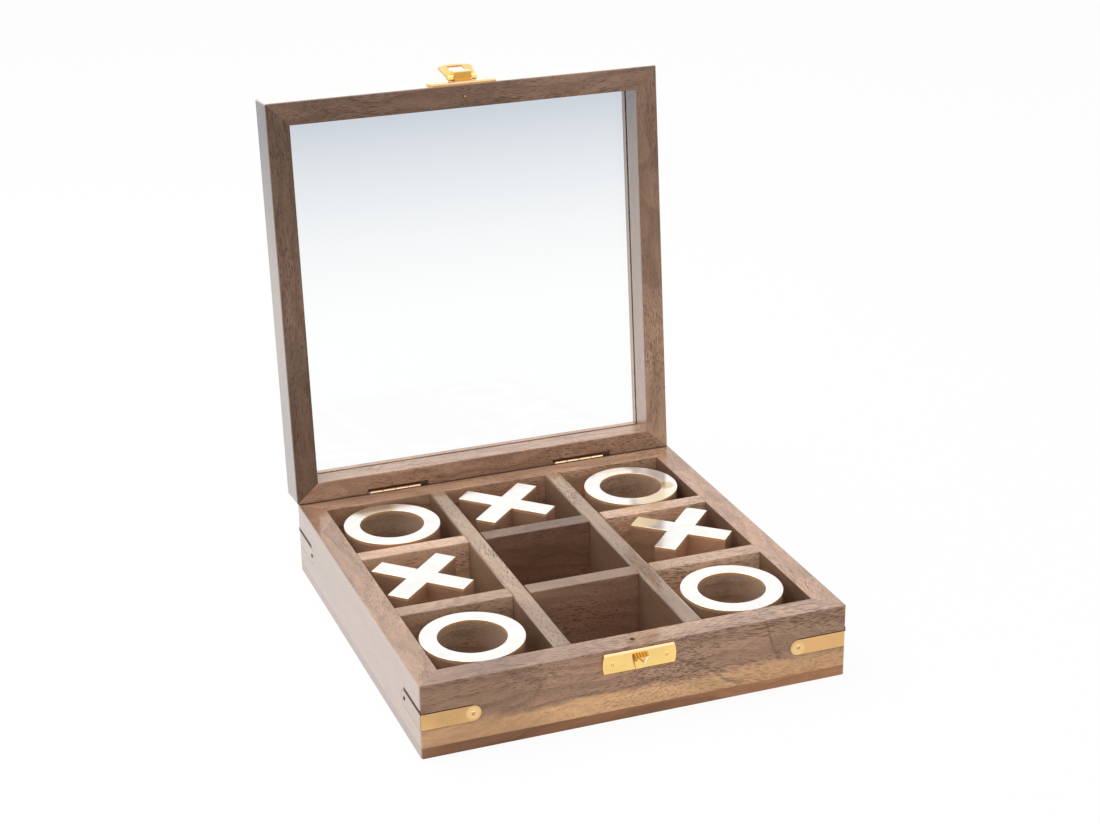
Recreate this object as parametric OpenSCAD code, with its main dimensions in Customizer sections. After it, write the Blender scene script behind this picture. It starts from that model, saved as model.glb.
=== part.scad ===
// Glass-lidded tic-tac-toe box with a nine-cell grid, brass-capped rings and
// crosses, corner brackets, a box catch and two small butt hinges.
// Millimetres. +Z is up, +Y is the hinge side, and the origin is the centre of
// the box's underside. The lid stands open and the hasp lies back, as it rests.

/* [Box] */
// Outside width and depth of the square box
box_w = 180; // [160:1:220]
// Thickness of the four walls
wall_t = 10.5; // [9:0.5:14]
// Height of the walls above the bottom panel
wall_h = 27; // [24:0.5:36]
// Thickness of the bottom panel
panel_t = 4.5; // [3:0.5:8]
// Rounding of the upright outside corners
corner_r = 0.8; // [0.4:0.1:2]
// Rounding of the outside long edges
edge_r = 0.6; // [0.3:0.1:1.5]
// Rounding of the edges round the cells and the window
inner_edge_r = 0.4; // [0.2:0.1:0.8]
// Rounding of the two edges that meet along the hinges
hinge_edge_r = 0.2; // [0.1:0.1:0.4]
// Width across the hole in the front wall for the lid's locating pin
dowel_hole_d = 1.5; // [1.4:0.1:2.5]
// Depth of that hole
dowel_hole_deep = 4; // [2.5:0.5:8]

/* [Grid] */
// Thickness of the dividers
divider_t = 7.6; // [5:0.2:10]
// Rounding of the long dividers' top edges
long_edge_r = 1.4; // [0.4:0.1:2]
// Play in the half-lap joints of the dividers
lap_gap = 0.1; // [0.05:0.05:0.3]

/* [Playing pieces] */
// Gap between a centred ring and the walls of its cell
ring_clear = 2.85; // [1.5:0.05:5]
// Width of the ring's band
ring_band = 7.1; // [5:0.1:9]
// How much further than a ring a cross's corners reach
cross_over = 1; // [0:0.1:2]
// Width of a cross's arms
cross_arm_w = 9.5; // [7:0.5:12]
// Thickness of the brass caps
cap_t = 1; // [0.6:0.1:2]
// How far the caps lie below the rim
piece_drop = 1; // [0:0.1:3]
// Least gap between a shifted piece and its cell
piece_gap = 0.3; // [0.1:0.1:1]
// Share of the free room that each ring is shifted right and back
ring_back_left_shift = [-0.29, 0.4]; // [-1:0.01:1]
// Shift of the ring at the back right
ring_back_right_shift = [0.37, -0.13]; // [-1:0.01:1]
// Shift of the ring at the front left
ring_front_left_shift = [-0.83, -0.57]; // [-1:0.01:1]
// Shift of the ring at the front right
ring_front_right_shift = [-0.29, -0.43]; // [-1:0.01:1]
// Shift of the cross in the middle row, left
cross_left_shift = [-0.79, 0.48]; // [-1:0.01:1]
// Shift of the cross at the back, middle
cross_back_shift = [-0.4, 0.71]; // [-1:0.01:1]
// Shift of the cross in the middle row, right
cross_right_shift = [0.81, 1]; // [-1:0.01:1]
// Turn of the left cross
cross_left_turn = -45; // [-60:1:-30]
// Turn of the back cross
cross_back_turn = -45; // [-60:1:-30]
// Turn of the right cross
cross_right_turn = -42.4; // [-60:0.2:-30]

/* [Lid] */
// Height of the lid's frame
lid_h = 18; // [16:0.5:26]
// Width of the front rail and of both stiles
rail_w = 10.2; // [9:0.1:14]
// Width of the rail that carries the hinges
hinge_rail_w = 8.8; // [8:0.1:12]
// Gap between the closed lid and the rim
lid_gap = 0.2; // [0.1:0.1:0.6]
// Rounding of the lid's outer top edges
lid_round = 1.2; // [0.5:0.1:3]
// Thickness of the glass
pane_t = 2; // [1.5:0.5:3]
// Height of the glass above the lid's underside
pane_up = 12; // [9:0.5:12.5]
// Depth of the groove that holds the glass
groove_deep = 3.5; // [2:0.1:5]
// Play of the glass in its groove
pane_gap = 0.2; // [0.1:0.05:0.5]
// Angle at which the lid stands open
open_angle = 95; // [90:1:105]
// Diameter of the locating pin in the lid's front rail
locating_pin_d = 1.1; // [0.8:0.1:1.2]
// How far the locating pin stands out of the lid
locating_pin_out = 1.4; // [0.6:0.1:2]
// Length of the locating pin inside the lid
locating_pin_in = 5; // [3:0.5:8]

/* [Hinges] */
// Width of a hinge
hinge_w = 24; // [16:1:32]
// Distance of each hinge's middle from the box's middle
hinge_x = 44.6; // [30:0.1:60]
// Number of knuckles along a hinge
knuckle_n = 4; // [2:2:6]
// Diameter of the hinge's barrel
barrel_d = 2.6; // [2.2:0.1:3.2]
// Diameter of the hinge pin
hinge_pin_d = 1.2; // [0.8:0.1:1.4]
// Height of the pin's axis below the rim
axis_drop = 0.4; // [0.3:0.1:0.8]
// Thickness of the leaves
leaf_t = 0.8; // [0.6:0.1:1.2]
// Height of a leaf from the pin's axis
leaf_h = 9; // [8:0.5:12]
// Play round the pin
hinge_play = 0.05; // [0.03:0.01:0.1]
// Gap left at each end of a knuckle
knuckle_gap = 0.15; // [0.05:0.05:0.3]
// Free space round the barrel
barrel_clear = 0.3; // [0.2:0.05:0.5]
// Width of the lid's notch beyond the hinge's left end
notch_left = 0.7; // [0.5:0.1:5]
// Width of the lid's notch beyond the hinge's right end
notch_right = 4; // [0.5:0.1:5]
// Length of the notch up the lid's face
notch_up = 2.1; // [1.7:0.1:3]
// Depth of the notch into the lid's frame behind the barrel
notch_deep = 1.7; // [1.3:0.1:3]
// Depth of the notch beyond the barrel's ends
notch_end_deep = 0.7; // [0.4:0.1:1.2]
// Length of the hinge screws
screw_l = 7; // [5:0.5:7.5]
// Diameter of a hinge screw's shank
screw_d = 1.6; // [1.2:0.1:2]
// Diameter of a hinge screw's head
screw_head_d = 3.2; // [2.6:0.1:4]
// Distance of a screw from the hinge's middle, as a share of its width
screw_share = 0.29; // [0.2:0.01:0.34]

/* [Corner brackets] */
// Length of each leg of a bracket
bracket_l = 24.5; // [18:0.5:35]
// Height of the brackets' middle line above the table
bracket_z = 15.6; // [12:0.1:20]
// How much higher the front right bracket sits
bracket_up = 0.8; // [0:0.1:1]
// Height of the brackets
bracket_h = 6.8; // [5:0.1:9]
// Thickness of the brackets
bracket_t = 1; // [0.6:0.1:1.5]
// Gap between a bracket and its recess
inlay_gap = 0.15; // [0.05:0.05:0.4]
// Diameter of the bracket pins' heads
bracket_pin_head = 2.3; // [1.6:0.1:3]
// Diameter of the bracket pins
bracket_pin_d = 0.9; // [0.7:0.1:1.2]
// Length of the bracket pins
bracket_pin_l = 7; // [5:0.5:8]
// Height of the bracket pins' heads
bracket_head_h = 0.3; // [0.2:0.05:0.6]

/* [Catch] */
// Shift of the catch and the hasp from the box's middle
catch_x = -0.6; // [-1:0.1:1]
// Width of both catch plates
catch_w = 31; // [24:0.5:40]
// Height of both catch plates
catch_h = 9; // [8:0.1:10]
// Thickness of both catch plates
catch_t = 1.2; // [1:0.1:1.6]
// Bevel along the plates' long edges
catch_bevel = 0.7; // [0.4:0.1:0.8]
// Bulge of the plates' rounded ends
catch_bulge = 0.8; // [0.4:0.1:1.5]
// Distance of the lower plate below the rim
catch_drop = 1.4; // [1.2:0.1:3]
// Height of the upper plate's edge above the lid's underside
hasp_up = 0.5; // [0.3:0.1:1]
// Distance of the plate pins from the plates' ends
catch_pin_in = 4; // [3:0.1:5]
// Diameter of the plate pins' heads
catch_pin_head = 2.2; // [1.6:0.1:2.6]
// Diameter of the plate pins
catch_pin_d = 1; // [0.8:0.1:1.4]
// Length of the plate pins under the head
catch_pin_l = 7; // [5:0.5:8]
// Height of the plate pins' heads
catch_head_h = 0.2; // [0.1:0.05:0.4]
// Width of the beak where it leaves the plate
beak_w = 6.3; // [5:0.1:8]
// How far the beak's point stands off the plate
beak_reach = 3.9; // [3.2:0.1:4.2]
// Distance of the beak's top edge below the plate's top edge
beak_drop = 1.3; // [0.8:0.1:2]
// Height from the beak's top edge down to its brow
beak_brow_drop = 1.2; // [0.6:0.1:1.4]
// Height from the beak's top edge down to its point
beak_point_drop = 3.2; // [2.4:0.1:3.4]
// How far the beak's brow stands off the plate
beak_brow_out = 2.2; // [1.6:0.1:2.6]
// Width of the beak's front facet along the brow
beak_brow_w = 4.8; // [4:0.1:5]
// How far the beak's point leans to one side
beak_lean = 0.7; // [0:0.1:0.7]
// Height of the hook under the brow
beak_hook = 0.8; // [0.6:0.1:1]
// Depth of the beak's root below the hook
beak_ramp = 1.1; // [0.8:0.1:1.2]
// Width of the hasp's middle knuckle
hasp_knuckle_w = 8; // [6:0.1:9]
// Diameter of the hasp's pin
hasp_pin_d = 1.2; // [1:0.1:1.6]
// Height of the hasp's pin off the frame's front face
hasp_axis_off = 2.7; // [2.7:0.05:3.2]
// How far the folded loop stands out beyond its pin's axis
knuckle_out = 2.8; // [2.2:0.1:2.9]
// How far the loop reaches below its pin's axis
knuckle_down = 1.5; // [1.3:0.1:2]
// How far the loop reaches above its pin's axis
knuckle_up = 2.4; // [1.6:0.1:2.5]
// Bevel along the loop's outer edges
knuckle_bevel = 0.4; // [0.2:0.1:0.8]
// Height of the fold at the loop's foot
knuckle_fold = 0.8; // [0.4:0.1:1]
// How far the hasp's pin stands out of each eye
hasp_pin_proud = 0.3; // [0.1:0.1:0.6]
// Distance of the hasp's pin below the middle of its plate
hasp_axis_drop = 1.2; // [0.8:0.1:1.6]
// Gap between the hasp's eyes and the plate under them
hasp_eye_gap = 0.15; // [0.1:0.05:0.3]
// Gap between the flap and each side of the knuckle
hasp_side = 0.15; // [0.1:0.05:0.3]
// Thickness of the flap
flap_t = 0.7; // [0.5:0.1:0.9]
// Half of the flap's width at its hinge
flap_half_top = 6.6; // [6:0.1:8]
// Half of the flap's width at its free end
flap_half_end = 7.7; // [7:0.1:10]
// Width of the flap's bar below the slot, at its middle
flap_bar = 1.6; // [1.2:0.1:2.2]
// How far the flap's free end bows out in its middle
flap_bow = 1.5; // [0.6:0.1:2]
// Distance from the hasp's pin to the flap's slot
slot_start = 5.8; // [5:0.1:6.4]
// Rounding of the flap's corners
flap_corner_r = 0.4; // [0.3:0.1:1.2]
// Gap between the flap's slot and the beak
hook_gap = 0.35; // [0.2:0.05:0.6]
// Angle through which the flap swings back from closed
flap_swing = 161; // [150:1:168]

/* [View] */
// Node to draw

/* [Hidden] */
$fn = 64;
eps = 0.01;
cut = 1;
tip_d = 0.2;

wood = [0.56, 0.42, 0.33];
panel_wood = [0.46, 0.32, 0.25];
piece_wood = [0.5, 0.36, 0.27];
brass = [0.9, 0.74, 0.42];
cap_brass = [0.95, 0.86, 0.62];
clear_glass = [0.82, 0.85, 0.88, 0.35];

half_w = box_w / 2;
base_h = panel_t + wall_h;
inside_w = box_w - 2 * wall_t;
cell_w = (inside_w - 2 * divider_t) / 3;
divider_at = (cell_w + divider_t) / 2;
cell_pitch = cell_w + divider_t;

cap_z = base_h - piece_drop - cap_t;
piece_body_h = cap_z - panel_t;
ring_r = cell_w / 2 - ring_clear;
ring_bore_r = ring_r - ring_band;
cross_half = sqrt(pow(ring_r + cross_over, 2) - pow(cross_arm_w / 2, 2));

dowel_x = -1;
dowel_inset = wall_t / 2;

lid_z = base_h + lid_gap;
pane_room = pane_gap / 2;
axis_y = half_w;
axis_z = base_h - axis_drop;
barrel_r = barrel_d / 2;
hinge_bore_r = hinge_pin_d / 2 + hinge_play;
knuckle_w = hinge_w / knuckle_n;
leaf_root = barrel_r + barrel_clear;
screw_cone_h = leaf_t;
screw_side = hinge_w * screw_share;
screw_at = (leaf_h + leaf_root) / 2;

bracket_pin_at = bracket_l - bracket_h / 2;

catch_pin_x = catch_w / 2 - catch_pin_in;
catch_top = base_h - catch_drop;
catch_mid = catch_top - catch_h / 2;
hasp_mid = lid_z + hasp_up + catch_h / 2;
hasp_axis_z = hasp_mid - hasp_axis_drop;
hasp_axis_y = -half_w - hasp_axis_off;
hasp_eye_r = hasp_axis_off - catch_t - hasp_eye_gap;
knuckle_clear = norm([knuckle_out, knuckle_up - knuckle_bevel]) + hasp_side;

beak_top = catch_top - beak_drop;
beak_brow = beak_top - beak_brow_drop;
beak_point = beak_top - beak_point_drop;
beak_chin = beak_point + beak_hook;
beak_foot = catch_top - catch_h + 1.1 * catch_bevel;
beak_far = norm([hasp_axis_z - beak_point, beak_reach + catch_t - hasp_axis_off]);
slot_end = beak_far + hook_gap;
flap_l = slot_end + flap_bar;
slot_half = beak_w / 2 + hook_gap;

// Shared shapes

// Square of side w with rounded corners
module soft_square(w, r) {
    square([w - 2 * r, w], center = true);
    square([w, w - 2 * r], center = true);
    for (x = [-1, 1], y = [-1, 1])
        translate([x * (w / 2 - r), y * (w / 2 - r)]) circle(r = r);
}

// Puts a lid piece, drawn closed, at the angle where the lid stands open
module lid_open() {
    translate([0, axis_y, axis_z]) rotate([-open_angle, 0, 0])
        translate([0, -axis_y, -axis_z]) children();
}

// Copies a piece drawn at +X to both hinges
module at_hinge(side) {
    translate([side * hinge_x, 0, 0]) children();
}

// Small nail with a domed head, pointing along -Z, head's underside at z = 0
module nail(head_d, head_h, d, l) {
    dome_r = (pow(head_d / 2, 2) + pow(head_h, 2)) / (2 * head_h);
    intersection() {
        cylinder(d = head_d, h = head_h);
        translate([0, 0, head_h - dome_r]) sphere(r = dome_r);
    }
    translate([0, 0, -l + d]) cylinder(d = d, h = l - d + eps);
    translate([0, 0, -l]) cylinder(d1 = tip_d, d2 = d, h = d);
}

// Walls and bottom

// Rectangle w by h whose corner at the origin is rounded
module eased(w, h, r) {
    translate([r, 0]) square([w - r, h]);
    translate([0, r]) square([w, h - r]);
    translate([r, r]) circle(r = r);
}

// Board's section w by h, rounded by r at the origin and by r_far beyond it
module board(w, h, r, r_far) {
    intersection() {
        eased(w, h, r);
        translate([w, 0]) mirror([1, 0]) eased(w, h, r_far);
    }
}

// One mitred wall, drawn as the front one, its outer top edge rounded by r
module wall_blank(r = edge_r) {
    intersection() {
        translate([-half_w, -half_w, base_h]) rotate([90, 0, 90])
            linear_extrude(box_w) mirror([0, 1]) board(wall_t, wall_h, r, inner_edge_r);
        translate([0, 0, panel_t]) linear_extrude(wall_h) intersection() {
            soft_square(box_w, corner_r);
            polygon([
                [-half_w, -half_w], [half_w, -half_w],
                [half_w - wall_t, -half_w + wall_t],
                [-half_w + wall_t, -half_w + wall_t]
            ]);
        }
    }
}

// Hole for the lid's locating pin
module dowel_hole() {
    translate([dowel_x, -half_w + dowel_inset, base_h - dowel_hole_deep])
        cylinder(d = dowel_hole_d, h = dowel_hole_deep + cut);
}

module wall_front() {
    color(wood) difference() {
        wall_blank();
        bracket_cuts();
        bracket_pin_holes();
        dowel_hole();
        catch_pin_holes(catch_mid);
    }
}

module wall_side(side) {
    color(wood) difference() {
        rotate([0, 0, side * 90]) wall_blank();
        bracket_cuts();
        bracket_pin_holes();
    }
}

module wall_left() { wall_side(-1); }

module wall_right() { wall_side(1); }

module wall_back() {
    color(wood) difference() {
        rotate([0, 0, 180]) wall_blank(hinge_edge_r);
        bracket_cuts();
        bracket_pin_holes();
        for (side = [-1, 1]) at_hinge(side) base_hinge_cut();
    }
}

// Panel with its lower edges rounded
module bottom_panel() {
    color(panel_wood) intersection() {
        linear_extrude(panel_t) soft_square(box_w, corner_r);
        for (turn = [0, 90]) rotate([90, 0, turn + 90])
            linear_extrude(box_w, center = true) for (side = [0, 1]) mirror([side, 0])
                translate([-half_w, 0]) eased(half_w, panel_t, edge_r);
    }
}

// Grid

// Board along Y whose top edges are rounded by r
module divider_blank(r) {
    translate([-divider_t / 2, inside_w / 2, base_h]) rotate([90, 0, 0])
        linear_extrude(inside_w) mirror([0, 1])
            board(divider_t, wall_h, r, r);
}

// Half of the height is cut away where two dividers cross
module lap_cuts(from_z) {
    for (y = [-divider_at, divider_at])
        translate([-divider_t / 2 - cut, y - divider_t / 2 - lap_gap, from_z])
            cube([divider_t + 2 * cut, divider_t + 2 * lap_gap, wall_h / 2 + lap_gap + cut]);
}

// The long dividers are cut from below, so their tops run unbroken
module long_divider(x) {
    color(wood) translate([x, 0, 0]) difference() {
        divider_blank(long_edge_r);
        lap_cuts(panel_t - cut);
    }
}

module long_divider_left() { long_divider(-divider_at); }

module long_divider_right() { long_divider(divider_at); }

// The cross dividers are cut from above
module cross_divider(y) {
    color(wood) translate([0, y, 0]) rotate([0, 0, 90]) difference() {
        divider_blank(inner_edge_r);
        lap_cuts(panel_t + wall_h / 2);
    }
}

module cross_divider_rear() { cross_divider(divider_at); }

module cross_divider_front() { cross_divider(-divider_at); }

// Corner brackets, drawn at the front left corner

// Outline of one leg with its rounded end, grown by g, as a plate of depth t
module bracket_leg(g, t) {
    translate([-half_w, -half_w + t, bracket_z]) rotate([90, 0, 0])
        linear_extrude(t + g) {
            translate([-g, -bracket_h / 2 - g])
                square([bracket_pin_at + g, bracket_h + 2 * g]);
            translate([bracket_pin_at, 0]) circle(d = bracket_h + 2 * g);
        }
}

// Swaps the leg on the front face for the one on the left face
module other_leg() {
    mirror([1, -1, 0]) children();
}

module bracket_shape(g) {
    bracket_leg(g, bracket_t);
    other_leg() bracket_leg(g, bracket_t);
}

module at_corner(x, y) {
    translate([0, 0, x > 0 && y < 0 ? bracket_up : 0])
        mirror([x > 0 ? 1 : 0, 0, 0]) mirror([0, y > 0 ? 1 : 0, 0]) children();
}

module at_all_corners() {
    for (x = [-1, 1], y = [-1, 1]) at_corner(x, y) children();
}

module bracket_cuts() {
    at_all_corners() bracket_shape(inlay_gap);
}

module at_bracket_pins() {
    translate([-half_w + bracket_pin_at, -half_w, bracket_z]) rotate([90, 0, 0]) children();
    other_leg() translate([-half_w + bracket_pin_at, -half_w, bracket_z])
        rotate([90, 0, 0]) children();
}

module bracket_pin_holes() {
    at_all_corners() at_bracket_pins()
        translate([0, 0, -bracket_pin_l]) cylinder(d = bracket_pin_d, h = bracket_pin_l + cut);
}

module corner_bracket(x, y) {
    color(brass) at_corner(x, y) difference() {
        intersection() {
            bracket_shape(0);
            linear_extrude(base_h) soft_square(box_w, corner_r);
        }
        at_bracket_pins() translate([0, 0, -bracket_t - cut])
            cylinder(d = bracket_pin_d, h = bracket_t + 2 * cut);
    }
}

module corner_bracket_front_left() { corner_bracket(-1, -1); }

module corner_bracket_front_right() { corner_bracket(1, -1); }

module corner_bracket_back_left() { corner_bracket(-1, 1); }

module corner_bracket_back_right() { corner_bracket(1, 1); }

module bracket_pins() {
    color(brass) at_all_corners() at_bracket_pins()
        nail(bracket_pin_head, bracket_head_h, bracket_pin_d, bracket_pin_l);
}

// Catch

// Plate outline with gently rounded ends, centred, x across and y up
module catch_outline() {
    end_r = (pow(catch_h / 2, 2) + pow(catch_bulge, 2)) / (2 * catch_bulge);
    for (side = [0, 1]) mirror([side, 0]) intersection() {
        translate([0, -catch_h / 2]) square([catch_w / 2, catch_h]);
        translate([catch_w / 2 - end_r, 0]) circle(r = end_r);
    }
}

// Plate lying on the front face, with bevelled long edges
module catch_blank(z) {
    translate([catch_x, -half_w, z]) intersection() {
        rotate([90, 0, 0]) linear_extrude(catch_t) catch_outline();
        rotate([90, 0, 90]) linear_extrude(catch_w + 2 * cut, center = true) polygon([
            [0, -catch_h / 2], [0, catch_h / 2],
            [-catch_t + catch_bevel, catch_h / 2], [-catch_t, catch_h / 2 - catch_bevel],
            [-catch_t, -catch_h / 2 + catch_bevel], [-catch_t + catch_bevel, -catch_h / 2]
        ]);
    }
}

module at_catch_pins(z) {
    for (x = [-catch_pin_x, catch_pin_x])
        translate([catch_x + x, -half_w - catch_t, z]) rotate([90, 0, 0]) children();
}

module catch_pin_holes(z) {
    at_catch_pins(z) translate([0, 0, -catch_pin_l]) cylinder(d = catch_pin_d, h = catch_pin_l + cut);
}

// Drooping beak: a side profile, a front profile and a plan profile meet
module beak() {
    root = -half_w - catch_t;
    half = beak_w / 2;
    left = beak_lean - beak_brow_w / 2;
    right = beak_lean + beak_brow_w / 2;
    translate([catch_x, 0, 0]) intersection() {
        rotate([90, 0, 90]) linear_extrude(beak_w + 2 * cut, center = true) polygon([
            [root + eps, beak_top], [root - beak_brow_out, beak_brow],
            [root - beak_reach, beak_point], [root - beak_brow_out, beak_chin],
            [root - beak_ramp, beak_chin - catch_bevel],
            [root - beak_ramp / 4, beak_foot + eps], [root + eps, beak_foot]
        ]);
        translate([0, -half_w, 0]) rotate([90, 0, 0]) linear_extrude(catch_t + beak_reach + cut)
            polygon([
                [-half, beak_top], [half, beak_top], [half, beak_brow],
                [half / 2, beak_foot], [-half / 2, beak_foot], [-half, beak_brow]
            ]);
        translate([0, root, beak_foot - cut]) linear_extrude(beak_top - beak_foot + 2 * cut)
            polygon([
                [-half, cut], [half, cut], [half, 0], [right, -beak_brow_out],
                [beak_lean, -beak_reach - eps], [left, -beak_brow_out], [-half, 0]
            ]);
    }
}

module catch_plate() {
    color(brass) difference() {
        union() {
            catch_blank(catch_mid);
            beak();
        }
        catch_pin_holes(catch_mid);
    }
}

module catch_plate_pins() {
    color(brass) at_catch_pins(catch_mid)
        nail(catch_pin_head, catch_head_h, catch_pin_d, catch_pin_l);
}

// Hasp on the lid, drawn with the lid closed

// Folded loop in the plate's middle that carries the hasp's pin
module hasp_knuckle() {
    foot = -catch_t + eps;
    fold = -catch_t - knuckle_fold;
    top = -hasp_axis_off - knuckle_out;
    translate([catch_x, -half_w, hasp_axis_z]) rotate([90, 0, 90])
        linear_extrude(hasp_knuckle_w, center = true) polygon([
            [foot, -knuckle_down - knuckle_fold], [fold, -knuckle_down - knuckle_fold],
            [fold - knuckle_fold / 2, -knuckle_down], [top + knuckle_bevel, -knuckle_down],
            [top, -knuckle_down + knuckle_bevel], [top, knuckle_up - knuckle_bevel],
            [top + knuckle_bevel, knuckle_up], [foot, knuckle_up]
        ]);
}

module hasp_plate() {
    color(brass) lid_open() difference() {
        union() {
            catch_blank(hasp_mid);
            hasp_knuckle();
        }
        catch_pin_holes(hasp_mid);
        hasp_bore(hasp_knuckle_w + 2 * cut, hasp_pin_d);
    }
}

module hasp_plate_pins() {
    color(brass) lid_open() at_catch_pins(hasp_mid)
        nail(catch_pin_head, catch_head_h, catch_pin_d, catch_pin_l);
}

module hasp_bore(l, d) {
    translate([catch_x - l / 2, hasp_axis_y, hasp_axis_z]) rotate([0, 90, 0])
        cylinder(d = d, h = l);
}

module hasp_pin() {
    color(brass) lid_open() hasp_bore(2 * (flap_half_top + hasp_pin_proud), hasp_pin_d);
}

// Flap in its own place: x across, y down from the pin, bowed at its free end
module flap_outline() {
    side_l = flap_l - flap_bow;
    corner_x = flap_half_end - flap_corner_r;
    bow_r = (pow(flap_half_end, 2) + pow(flap_bow, 2)) / (2 * flap_bow);
    difference() {
        union() {
            polygon([
                [-flap_half_top, 0], [flap_half_top, 0],
                [flap_half_end, -side_l + flap_corner_r], [corner_x, -side_l],
                [-corner_x, -side_l], [-flap_half_end, -side_l + flap_corner_r]
            ]);
            for (x = [-corner_x, corner_x]) translate([x, -side_l + flap_corner_r])
                circle(r = flap_corner_r);
            intersection() {
                translate([-corner_x, -flap_l]) square([2 * corner_x, flap_l / 2]);
                translate([0, bow_r - flap_l]) circle(r = bow_r);
            }
        }
        translate([-hasp_knuckle_w / 2 - hasp_side, -knuckle_clear])
            square([hasp_knuckle_w + 2 * hasp_side, knuckle_clear + cut]);
        translate([-slot_half, -slot_end]) square([2 * slot_half, slot_end - slot_start]);
    }
}

module flap_blank() {
    difference() {
        union() {
            rotate([90, 0, 0]) linear_extrude(flap_t, center = true) flap_outline();
            for (side = [-1, 1])
                translate([side * (flap_half_top + hasp_knuckle_w / 2 + hasp_side) / 2, 0, 0])
                    rotate([0, 90, 0]) cylinder(
                        r = hasp_eye_r,
                        h = flap_half_top - hasp_knuckle_w / 2 - hasp_side,
                        center = true
                    );
        }
        translate([-flap_half_end, 0, 0]) rotate([0, 90, 0])
            cylinder(d = hasp_pin_d + 2 * hinge_play, h = 2 * flap_half_end);
    }
}

module hasp_flap() {
    color(brass) lid_open() translate([catch_x, hasp_axis_y, hasp_axis_z])
        rotate([-flap_swing, 0, 0]) flap_blank();
}

// Hinges, drawn round x = 0 with the lid closed

// Cylinder along the hinge's axis, from x0 to x1
module axis_rod(x0, x1, r) {
    translate([x0, axis_y, axis_z]) rotate([0, 90, 0]) cylinder(r = r, h = x1 - x0);
}

// Leaf below the axis with every second knuckle; first is 0 or 1
module leaf_down(first) {
    difference() {
        union() {
            translate([-hinge_w / 2, axis_y - leaf_t, axis_z - leaf_h])
                cube([hinge_w, leaf_t, leaf_h - leaf_root]);
            for (i = [first : 2 : knuckle_n - 1]) {
                x0 = -hinge_w / 2 + i * knuckle_w + knuckle_gap;
                x1 = x0 + knuckle_w - 2 * knuckle_gap;
                axis_rod(x0, x1, barrel_r);
                translate([x0, axis_y - leaf_t, axis_z - leaf_root - eps])
                    cube([x1 - x0, leaf_t, leaf_root]);
            }
        }
        axis_rod(-hinge_w, hinge_w, hinge_bore_r);
        at_leaf_screws() translate([0, 0, -screw_cone_h - cut])
            cylinder(d = screw_d, h = screw_cone_h + 2 * cut);
        at_leaf_screws() screw_cone();
    }
}

module screw_cone() {
    translate([0, 0, -screw_cone_h])
        cylinder(d1 = screw_d, d2 = screw_head_d, h = screw_cone_h);
}

module at_leaf_screws() {
    for (x = [-screw_side, screw_side])
        translate([x, axis_y, axis_z - screw_at]) rotate([-90, 0, 0]) children();
}

module leaf_screw() {
    screw_cone();
    translate([0, 0, -screw_l + screw_d]) cylinder(d = screw_d, h = screw_l - screw_d);
    translate([0, 0, -screw_l]) cylinder(d1 = tip_d, d2 = screw_d, h = screw_d);
}

// Turns a piece drawn below the axis into its twin above it
module flip_up() {
    translate([0, 0, 2 * axis_z]) mirror([0, 0, 1]) children();
}

// Recess for one leaf below the axis, with its screw holes
module leaf_recess() {
    translate([-hinge_w / 2 - inlay_gap, axis_y - leaf_t, axis_z - leaf_h - inlay_gap])
        cube([hinge_w + 2 * inlay_gap, leaf_t + cut, leaf_h + inlay_gap + cut]);
    at_leaf_screws() translate([0, 0, -screw_l]) cylinder(d = screw_d, h = screw_l + cut);
}

module base_hinge_cut() {
    leaf_recess();
    r = barrel_r + barrel_clear;
    translate([-hinge_w / 2 - barrel_clear, axis_y - r, axis_z - r])
        cube([hinge_w + 2 * barrel_clear, r + cut, r + axis_drop + cut]);
}

module lid_hinge_cut() {
    flip_up() leaf_recess();
    translate([-hinge_w / 2 - barrel_clear, axis_y - notch_up, lid_z - cut])
        cube([hinge_w + 2 * barrel_clear, notch_up + cut, notch_deep + cut]);
    translate([-hinge_w / 2 - notch_left, axis_y - notch_up, lid_z - cut])
        cube([hinge_w + notch_left + notch_right, notch_up + cut, notch_end_deep + cut]);
}

module hinge_leaf_base(side) {
    color(brass) at_hinge(side) leaf_down(0);
}

module hinge_leaf_lid(side) {
    color(brass) lid_open() at_hinge(side) flip_up() leaf_down(1);
}

module hinge_pin(side) {
    color(brass) at_hinge(side) axis_rod(-hinge_w / 2, hinge_w / 2, hinge_pin_d / 2);
}

module hinge_leaf_base_left() { hinge_leaf_base(-1); }

module hinge_leaf_base_right() { hinge_leaf_base(1); }

module hinge_leaf_lid_left() { hinge_leaf_lid(-1); }

module hinge_leaf_lid_right() { hinge_leaf_lid(1); }

module hinge_pin_left() { hinge_pin(-1); }

module hinge_pin_right() { hinge_pin(1); }

module hinge_screws_base() {
    color(brass) for (side = [-1, 1]) at_hinge(side) at_leaf_screws() leaf_screw();
}

module hinge_screws_lid() {
    color(brass) lid_open() for (side = [-1, 1])
        at_hinge(side) flip_up() at_leaf_screws() leaf_screw();
}

// Lid frame and glass

// Section of a frame member: outer face at x = 0, underside at y = 0, where the
// outer edge is rounded by r
module rail_profile(w, r) {
    difference() {
        union() {
            board(w, lid_h / 2, r, inner_edge_r);
            translate([0, lid_h]) mirror([0, 1])
                board(w, lid_h / 2 + eps, lid_round, inner_edge_r);
        }
        translate([w - groove_deep, pane_up])
            square([groove_deep + cut, pane_t + pane_gap]);
    }
}

// Bar with the outer face on the front side of the box
module rail_bar(w, r = edge_r) {
    translate([-half_w, -half_w, lid_z]) rotate([90, 0, 90])
        linear_extrude(box_w) rail_profile(w, r);
}

// Cuts a member to its mitres and to the lid's rounded corners
module mitred(points) {
    intersection() {
        children();
        translate([0, 0, lid_z - cut]) linear_extrude(lid_h + 2 * cut) intersection() {
            soft_square(box_w, corner_r);
            polygon(points);
        }
    }
}

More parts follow.
